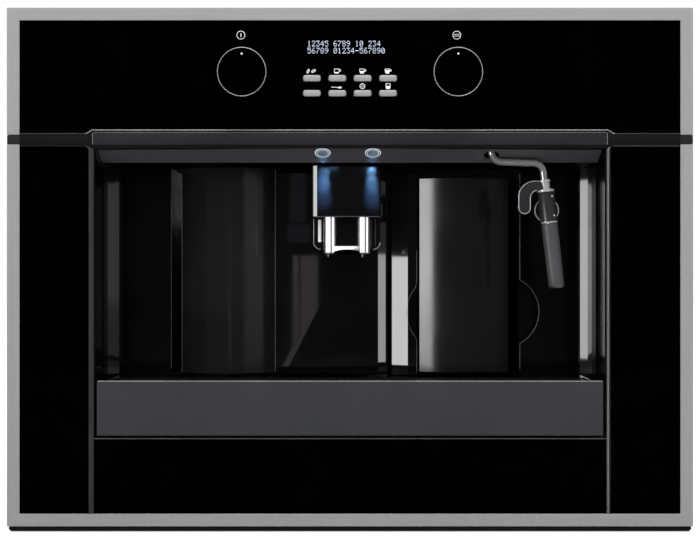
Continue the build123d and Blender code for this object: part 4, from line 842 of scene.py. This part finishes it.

# Grey beads along the niche's cut edges, the gap beside the door and the scoops' rims are painted highlights
edges = bmesh.new()
bead(edges, NICHE_BACK - 0.1, [(-169.2, 134.0), (-169.2, 321.0)], 0.25)
for low, high in ((218.2, 318.0), (134.0, 158.2)):
    bead(edges, NICHE_BACK - 0.1, [(160.9, low), (160.9, high)], 0.42)
bead(edges, NICHE_BACK - 0.1, arc(145.0, 188.0, 34.0, -62, 62, 40), 0.45)
bead(edges, 105.5, [(62.3, 131.5), (62.3, 160.0)] + arc(88.8, 188.0, 36.0, 220, 140, 30)
     + [(62.3, 216.0), (62.3, 246.0)], 0.36)
niche_rims = piece("niche_edge_rims", edges, ("rim",), "machine")

lamps = bmesh.new()
lamp_axis = Vector((0, -APRON_RISE, -1)).normalized()
for x in LAMP_X:
    seat = at(x, LAMP_DEPTH, APRON_START[1] - APRON_RISE * (LAMP_DEPTH - APRON_START[0]))
    turned(lamps, seat, lamp_axis,
           [(0, -9.8, 1), (6.3, -9.8, 1), (6.3, 0.1, 1), (6.95, 0.15), (6.95, 0.6), (6.7, 0.9), (6.3, 0.9, 1),
            (5.5, 0.6, 1), (5.2, 0.9), (4.8, 0.9, 1), (4.4, 0.5, 1), (2.0, 0.9, 1), (0, 0.95, 1)], 48)
piece("lamp_lens_pair", lamps, ("lit", "lens"), "machine", ("lamp_lenses",))

# ---------------------------------------------------------------- door and spout
def door_edge(x, depth, z):
    """The door's free edge falls back in one flat."""
    if x > DOOR_FREE_EDGE + 0.01 and depth < 112.1:
        return x, DOOR_FACE + (x - DOOR_FREE_EDGE) * DOOR_SLOPE, z
    if x > -69.7 and abs(depth - DOOR_FACE) < 1:
        return x, DOOR_FACE, z
    return x, depth, z


def spout_bevel(x, depth, z):
    """The spout's left front edge is a narrow flat that turns to the left."""
    if x < SPOUT_BEVEL_X and depth < 44.05:
        return x, 40 + (SPOUT_BEVEL_X - x) * 0.475, z
    return x, depth, z


door = softened("service_door", ("door", "flat"), 0.0, smooth=12, reshape=door_edge,
                paint=lambda x, depth, z, normal: x > -69.5)  # the bulge on the left has a softer gloss
door_band = slanted("door_edge_band", 29.7, 7.0, "door", lambda x: (x - DOOR_FREE_EDGE) * DOOR_SLOPE)
# Grey beads down the door's left edge and along the edge between its bulge and its flat are painted highlights
door_highlight_beads = bmesh.new()
bead(door_highlight_beads, DOOR_FACE, [(-156.2, 132.6), (-156.2, 321.2)], 0.5)
bead(door_highlight_beads, DOOR_FACE - 0.1, [(-69.6, 132.6), (-69.6, 321.2)], 0.35)
piece("door_edge_rims", door_highlight_beads, ("rim",), "door")
softened("grounds_container", ("grey",), 0.5)
spout = softened("spout_housing", ("spout", "edge"), 0.3, smooth=20, reshape=spout_bevel,
                 paint=lambda x, depth, z, normal: x < SPOUT_BEVEL_X + 0.1 and normal.y < -0.5)
# The beads round the shroud and the white bar on its left are painted highlights; the bar uses the white print
# finish
rims = bmesh.new()
rim = arc(-26.5, 252.5, 6.3, 270, 180, 12)
bead(rims, 61.9, rim + [(-32.8, 273.5)], 0.38)
bead(rims, 61.9, [(2 * SPOUT_X - x, z) for x, z in rim], 0.38)
plate(rims, rounded(SPOUT_X - 24.6, 262.8, 2.9, 20.4, 0.8), 60.9, 62.4, 0.5, finish_index=2)
for x in (22.0, 25.8):
    bead(rims, 61.9, [(SPOUT_X + x, 249.0), (SPOUT_X + x, 273.5)], 0.3, 3)
bead(rims, 39.9, [(SPOUT_X - 29.6, 275.2), (SPOUT_X + 29.2, 275.2)], 0.35, 1)
spout_rims = piece("spout_rim_lines", rims, ("line", "rim", "print", "faint"), "coffee_spout")

nozzles = bmesh.new()
for side in (-1, 1):
    x = SPOUT_X + side * NOZZLE_SPACING / 2
    low, high = NOZZLE_Z
    turned(nozzles, at(x, NOZZLE_DEPTH, 0), (0, 0, 1),
           [(4.2, high), (5.7, high), (5.7, low + 1.6), (5.7, low + 1.0), (5.5, low + 0.4), (5.0, low),
            (4.4, low + 0.2), (4.2, low + 0.8), (4.2, high)], 48)
    turned(nozzles, at(x - 1.4, NOZZLE_DEPTH - 1.5, 0), (0, 0, 1),
           [(0, low - 3.2), (0.7, low - 2.9), (1.0, low - 2.0), (1.3, low + 0.6), (0, low + 0.6)], 20)
half = NOZZLE_SPACING / 2 - 3.0
arch = [(SPOUT_X + half, 249.4), (SPOUT_X - half, 249.4), (SPOUT_X - half, 242.1)]
arch += [(SPOUT_X - x * half, 241.8 + 3.4 * z) for x, z in arc(0, 0, 1, 0, 180, 16)]
arch.append((SPOUT_X + half, 242.1))
plate(nozzles, arch, NOZZLE_DEPTH - 4.2, NOZZLE_DEPTH + 4.2, 0.8, 3)
nozzle_pair = piece("spout_nozzle_pair", nozzles, ("polished",), "coffee_spout",
                    ("spout_nozzles",))

# ---------------------------------------------------------------- water tank and drip tray
softened("tank_body", ("smoked",), 0.5)
softened("tank_lid", ("satin",), 0.6)
tank_front = softened("tank_front", ("tank",), 0.5, smooth=30)
# The tray front's top and back faces have painted shade, so only its front edge shows light
softened("tray_front", ("tray", "shadow"), 0.7,  # its top is dark behind the edge
         paint=lambda x, depth, z, normal: normal.z > 0.7 or normal.y > 0.7)
# The bright bead along the tray front's top edge is a painted highlight
tray_line = bmesh.new()
tray_low, tray_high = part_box("tray_front")
tray_end = tray_high[0] * 1000 - 0.8
bead(tray_line, tray_low[1] * 1000 - FRONT_Y + 0.35, [(-tray_end, 131.1), (tray_end, 131.1)], 0.26)
piece("tray_edge_line", tray_line, ("line",), "drip_tray")
softened("tray_tub", ("gloss",), 0.5)



def barred(name, key, bars, body, slot, nodes=()):
    """Rounded bars, each given by its middle, its size and the way it runs."""
    points, sizes, runs = zip(*bars)
    grown(name, bar_tree(key), points, {"size": sizes, "run": runs}, (key,), body, slot, nodes)


slat_z, slat_depth, slat_length = sum(GRID_Z) / 2, sum(GRID_DEPTH) / 2, GRID_DEPTH[1] - GRID_DEPTH[0]
slats = [(at(k * 7.0 + 3.5, slat_depth, slat_z), (0.0040, 0.0015, (slat_length - 2) / 1000), (0, 1, 0))
         for k in range(-29, 30)]
slats += [(at(0, GRID_DEPTH[0] + 2 + (slat_length - 4) * share, slat_z),
           (0.0044, 0.0015, 2 * (GRID_X - 0.5) / 1000), (1, 0, 0)) for share in (0.0, 0.335, 0.665, 1.0)]
slats += [(at(side * (GRID_X - 3), slat_depth, slat_z), (0.0060, 0.0015, slat_length / 1000), (0, 1, 0))
          for side in (-1, 1)]
barred("cup_grid_bars", "grid", slats, "grid", "stainless", ("cup_grid",))

# ---------------------------------------------------------------- steam wand
down = Vector((math.sin(WAND_LEAN), 0, -math.cos(WAND_LEAN)))
wand_top = at(WAND_TOP[0], WAND_DEPTH, WAND_TOP[1])
tube = softened("wand_tube", ("polished",), 0.0, smooth=50)
softened("wand_socket", ("rail",), 0.2)

handle = bmesh.new()
turned(handle, wand_top, down,
       [(3.1, -9.5, 1), (4.6, -9.5, 1), (5.0, -9.0, 1), (5.0, -7.6, 1), (4.2, -7.0, 1), (4.0, -2.0, 1),
        (5.4, -1.4, 1), (7.4, -0.6, 1), (7.6, 0.2, 1), (7.4, 1.0, 2), (7.25, 1.4, 2), (7.3, 26.8, 2),
        (7.4, 27.2, 1), (7.45, 27.8, 1), (7.2, 28.5, 1), (3.1, 28.5, 1), (3.1, -9.5, 1)], 56)
for along in (5.5, 22.5):
    mark = wand_top + down * along / 1000 + Vector((math.cos(WAND_LEAN) * 0.0045, -0.0057, 0.0005))
    turned(handle, mark, (0.55, -0.83, 0.06),
           [(0, -1.0, 1), (1.1, -1.0, 1), (1.1, 0.0, 1), (0.8, 0.25, 1), (0, 0.3, 1)], 20)
hook_left, hook_w, hook_top = 147.0, 11.5, 306.0
hook_low = WAND_TOP[1] - 21.0 + hook_w / 2
hook = arc(hook_left + hook_w / 2, hook_low, hook_w / 2, 180, 360, 12)
hook += arc(hook_left + hook_w + 6, WAND_TOP[1] - 6.4, 6, 180, 90, 8)
hook += [(WAND_TOP[0] - 1, WAND_TOP[1] - 0.4), (WAND_TOP[0] - 1, hook_top - 0.4)]
for k in range(11):
    turn = math.pi / 2 * k / 10
    hook.append((hook_left + 15 - 15 * math.sin(turn), hook_top - 14 + 14 * math.cos(turn)))
plate(handle, hook, WAND_DEPTH - 3.5, WAND_DEPTH + 3.4, 1.2, 5, finish_index=3)
# The bright beads round the hook's face are painted highlights
hook_rim = inset(hook, 0.75)
for rim in (hook_rim[:21], hook_rim[22:] + hook_rim[:1]):
    bead(handle, WAND_DEPTH - 3.3, rim, 0.35, 1)
wand_handle = piece("wand_handle_moulded", handle, ("gloss", "line", "collar", "hook"), "steam_wand",
                    ("wand_handle",))

dial = bmesh.new()
dial_at = wand_top + down * 0.017
turned(dial, Vector((dial_at.x, at(0, WAND_DEPTH + COLLAR_R + 0.3, 0).y, dial_at.z)), (0, 1, 0),
       [(0, 0), (9.6, 0), (9.9, 0.2, 1), (10.6, 0.1, 1), (11.0, 0.8, 1), (11.0, 1.4), (10.9, 3.4),
        (10.4, 4.0), (0, 4.0)], 56)
dial_disc = piece("froth_dial_turned", dial, ("gloss", "line"), "dial", ("froth_dial",))


def wavy_end(turn, along):
    """The sleeve's mouth is cut in a low wave."""
    return -2.4 * (0.5 + 0.5 * math.cos(2 * turn + 0.8)) if along > SLEEVE_LENGTH - 2 else 0.0


sleeve = bmesh.new()
turned(sleeve, wand_top + down * (COLLAR_LENGTH + 0.3) / 1000, down,
       [(3.3, 0), (6.8, 0), (7.15, 0.4), (7.1, 3), (7.0, 28), (6.9, 50), (6.85, SLEEVE_LENGTH - 1.2),
        (6.6, SLEEVE_LENGTH), (5.2, SLEEVE_LENGTH), (5.1, SLEEVE_LENGTH - 1.2), (5.1, 6), (3.3, 6), (3.3, 0)],
       56, wave=wavy_end)
wand_sleeve = piece("froth_sleeve_moulded", sleeve, ("sleeve",), "sleeve", ("froth_sleeve",))

# ---------------------------------------------------------------- body, rails and works inside
for name in ("base_plate", "chassis_pan", "side_panels", "rear_panel", "top_cover"):
    softened(name, ("zinc",), 0.25, reshape=lambda x, depth, z: (x, min(depth, REAR_DEPTH), z))
# Painted shade: the tray bed and the inner frame are zinc painted dark, so the gaps that show them look shaded
for name in ("tray_bed", "inner_frame"):
    softened(name, ("dim_zinc",), 0.25)
for name in ("outer_rails", "middle_rails", "inner_rails"):
    softened(name, ("rail",), 0.3)
for name, key, edge in (
        ("brew_unit", "grey", 0.8), ("thermoblock", "cast", 0.8), ("water_pump", "grey", 0.6),
        ("grinder", "grey", 0.6), ("bean_hopper", "smoked", 0.4), ("power_board", "board", 0.2),
        ("control_board", "board", 0.2), ("mains_inlet", "satin", 0.3), ("bean_lid", "satin", 0.6),
        ("grind_knob", "satin", 0.6), ("power_switch", "gloss", 0.3)):
    softened(name, (key,), edge)

screws = [(at(x, REAR_DEPTH, z), (0, 1, 0)) for x in (-250, -85, 85, 250) for z in (20, 432)]
screws += [(at(side * 265.0, depth, z), (side, 0, 0))
           for side in (-1, 1) for depth in (40, 150, 270, 385) for z in (58, 432)]
screws += [(at(x, depth, 441.5), (0, 0, 1)) for x in (-255, 0, 255) for depth in (30, 388)]
points, facings = zip(*screws)
grown("panel_screws", screw_tree(), points, {"facing": facings}, ("rail",), "machine", "rail_steel",
      Head_Radius=3.6, Head_Height=0.45)

ribs = [(at(5.0 + x, HOPPER_MID + y, 445.4), (0.0011, 0.0011, 0.0060), (0, 0, 1))
        for x, y in arc(0, 0, 13.7, 0, 350, 35)]
barred("grind_knob_ribs", "satin", ribs, "grind_adjuster", "dark_satin")

# ---------------------------------------------------------------- stage, light and camera
CAMERA_DISTANCE = 1400.0
CAMERA_HEIGHT = 228.4

lens = bpy.data.cameras.new("camera")
lens.lens = 83.07
lens.sensor_width = 36.0
camera = bpy.data.objects.new("camera", lens)
camera.location = at(0, -CAMERA_DISTANCE, CAMERA_HEIGHT)
camera.rotation_euler = (math.pi / 2, 0, 0)
scene.collection.objects.link(camera)
scene.camera = camera

floor_mesh = bmesh.new()
bmesh.ops.create_circle(floor_mesh, cap_ends=True, segments=96, radius=9.0)
data = bpy.data.meshes.new("floor")
floor_mesh.to_mesh(data)
floor_mesh.free()
floor = bpy.data.objects.new("floor", data)
scene.collection.objects.link(floor)
pale = bpy.data.materials.new("pale_floor")
pale.use_nodes = True
tree = pale.node_tree
path = node(tree, "ShaderNodeLightPath").outputs
shade = node(tree, "ShaderNodeMix", {"Factor": path["Is Glossy Ray"], 6: (0.86, 0.86, 0.86, 1),
                                     7: (0.10, 0.10, 0.10, 1)}, data_type="RGBA")
lift = node(tree, "ShaderNodeMath", {0: path["Is Camera Ray"], 1: 0.62}, operation="MULTIPLY")
principled = tree.nodes["Principled BSDF"].inputs
principled["Roughness"].default_value = 0.9
principled["Specular IOR Level"].default_value = 0.1
principled["Emission Color"].default_value = (1, 1, 1, 1)
tree.links.new(shade.outputs[2], principled["Base Color"])
tree.links.new(lift.outputs[0], principled["Emission Strength"])
data.materials.append(pale)


def group_of(name, members):
    """The pieces that a light is for."""
    made = bpy.data.collections.new(name)
    for member in members:
        made.objects.link(member)
    return made


def softbox(name, place, aim, width, height, radiance, colour=(1, 1, 1), shows_in=()):
    """An area light that faces its aim, with its strength as radiance.

    With shows_in it is a card that only shows as a reflection in these pieces.
    """
    light = bpy.data.lights.new(name, "AREA")
    light.shape = "RECTANGLE"
    light.size, light.size_y = width, height
    light.energy = radiance * math.pi * width * height
    light.color = colour
    made = bpy.data.objects.new(name, light)
    made.location = place
    made.rotation_euler = (Vector(aim) - Vector(place)).to_track_quat("-Z", "Y").to_euler()
    scene.collection.objects.link(made)
    if shows_in:
        made.visible_diffuse = False
        mirrors = group_of(f"mirrors_{name}", shows_in)
        made.light_linking.receiver_collection = mirrors
        made.light_linking.blocker_collection = mirrors
    return made


def card(name, spot, side, turn, radiance, shows_in, z=0.6, height=1.2, colour=(1, 1, 1)):
    """A card 2 m from a spot in the niche, between two angles to one side of straight ahead."""
    middle, reach = math.radians(sum(turn) / 2), math.radians(turn[1] - turn[0]) / 2
    foot = Vector((spot[0], FRONT_Y + spot[1], 0)) / 1000
    place = foot + Vector((side * 2 * math.sin(middle), -2 * math.cos(middle), z))
    softbox(name, place, (foot.x, foot.y, z), 4 * math.tan(reach), height, radiance, colour, shows_in)


DOOR_TINT = (0.94, 0.94, 1.0)
card("left_box", (70, 60), -1, (44, 62), 7.0, (spout, spout_rims, tube, wand_handle, dial_disc, wand_sleeve,
                                               niche_rims), 0.62)
card("tank_box", (72, 100), -1, (38, 61), 9.5, (tank_front,), 0.56, 1.1)
card("right_corner_box", (221, 127), -1, (44, 64), 4.8, (liner_right,))
card("right_wall_card", (228, 122), -1, (64.5, 88), 2.0, (liner_right,))
card("left_corner_card", (-227, 123), 1, (54, 76), 0.11, (liner_left,), colour=(1.0, 0.95, 0.88))
card("door_card_right", (-90, 90), 1, (30, 80), 0.5, (door,), colour=DOOR_TINT)
card("door_card_left", (-145, 95), -1, (50, 104), 0.6, (door,), colour=DOOR_TINT)
for side, turn in ((-1, (-12, 25)), (-1, (25, 60)), (-1, (60, 88)), (1, (40, 84))):
    card("nozzle_card", (SPOUT_X, NOZZLE_DEPTH), side, turn, 2.1, (nozzle_pair,), 0.4)
card("pillar_box", (46, 108), -1, (24, 40), 6.5, (pillar_band,), 0.125, 0.26)
card("door_band_box", (30, 107), 1, (46, 60), 3.3, (door_band,), 0.13, 0.26)
softbox("top_box", (0, -0.7, 2.2), (0, 0, 0.3), 1.6, 1.2, 2.0)
fill = softbox("front_fill", (0, -2.4, 1.3), (0, 0, 0.25), 2.4, 1.6, 3.0)
fill.visible_glossy = False
MIRRORED = 1.733  # what the flat door shows at a point lies this much further out, 1.1 m before it
for name, x, z, radiance, colour in (
        ("warm_card_left", (-53, -48), (134, 241), 1.25, (1.0, 0.9, 0.84)),
        ("warm_card_right", (-46, -30), (134, 241), 1.1, (1.0, 0.92, 0.88)),
        ("cool_card_high", (-56, -41), (272, 320), 0.24, (0.8, 0.86, 1.0)),
        ("cool_card_low", (-58.5, -36.5), (253, 270), 0.26, (0.75, 0.82, 1.0))):
    x0, x1 = (v * MIRRORED / 1000 for v in x)
    z0, z1 = ((CAMERA_HEIGHT + (v - CAMERA_HEIGHT) * MIRRORED) / 1000 for v in z)
    place = ((x0 + x1) / 2, (FRONT_Y + DOOR_FACE) / 1000 - 1.1, (z0 + z1) / 2)
    softbox(name, place, (place[0], 0, place[2]), x1 - x0, z1 - z0, radiance, colour, (door,))

glow_on = group_of("glow_on", (ceiling, spout))
for x, high, middle in zip(LAMP_X, (1.5, 0.25), (4.6, 2.7)):
    for name, power, width, aim in (
            ("lamp_high", high, 24, (40, 313.5)), ("lamp_middle", middle, 24, (40, 304.8)),
            ("lamp_low", 3.0, 24, (40, 294)), ("lamp_near", 0.02, 60, (22, 323))):
        lamp = bpy.data.lights.new(name, "SPOT")
        lamp.energy = power
        lamp.color = (0.24, 0.56, 1.0)
        lamp.specular_factor = 0.0
        lamp.spot_size = math.radians(width)
        lamp.spot_blend = 1.0
        lamp.shadow_soft_size = 0.0015
        beam = bpy.data.objects.new(name, lamp)
        beam.location = at(x, LAMP_DEPTH - 1, 324.8)
        beam.rotation_euler = (at(x, *aim) - beam.location).to_track_quat("-Z", "Y").to_euler()
        scene.collection.objects.link(beam)
        beam.light_linking.receiver_collection = glow_on

world = bpy.data.worlds.new("studio")
scene.world = world
world.use_nodes = True
sky = world.node_tree
path = node(sky, "ShaderNodeLightPath").outputs
way = node(sky, "ShaderNodeSeparateXYZ", {0: node(sky, "ShaderNodeTexCoord").outputs["Generated"]})
ahead = node(sky, "ShaderNodeMapRange", {"Value": way.outputs["Y"], "From Min": -1.0})
ramp = node(sky, "ShaderNodeValToRGB", {"Fac": ahead.outputs["Result"]})
for place, level in ((0.0, 0.07), (0.06, 0.09), (0.2, 0.2), (0.5, 0.45), (0.75, 1.0)):
    stop = ramp.color_ramp.elements[0] if place == 0.0 else ramp.color_ramp.elements.new(place)
    stop.color = (level, level, level, 1)
ramp.color_ramp.elements[-1].color = (1, 1, 1, 1)
plain = node(sky, "ShaderNodeMath", {0: path["Is Camera Ray"], 1: path["Is Transmission Ray"]},
             operation="MAXIMUM")
soft = node(sky, "ShaderNodeMix", {"Factor": path["Is Glossy Ray"], "A": 0.5, "B": ramp.outputs["Color"]},
            data_type="FLOAT")
level = node(sky, "ShaderNodeMix", {"Factor": plain.outputs[0], "A": soft.outputs["Result"], "B": 1.0},
             data_type="FLOAT")
background = sky.nodes["Background"].inputs
background["Color"].default_value = (1, 1, 1, 1)
sky.links.new(level.outputs["Result"], background["Strength"])

scene.view_settings.view_transform = "Standard"
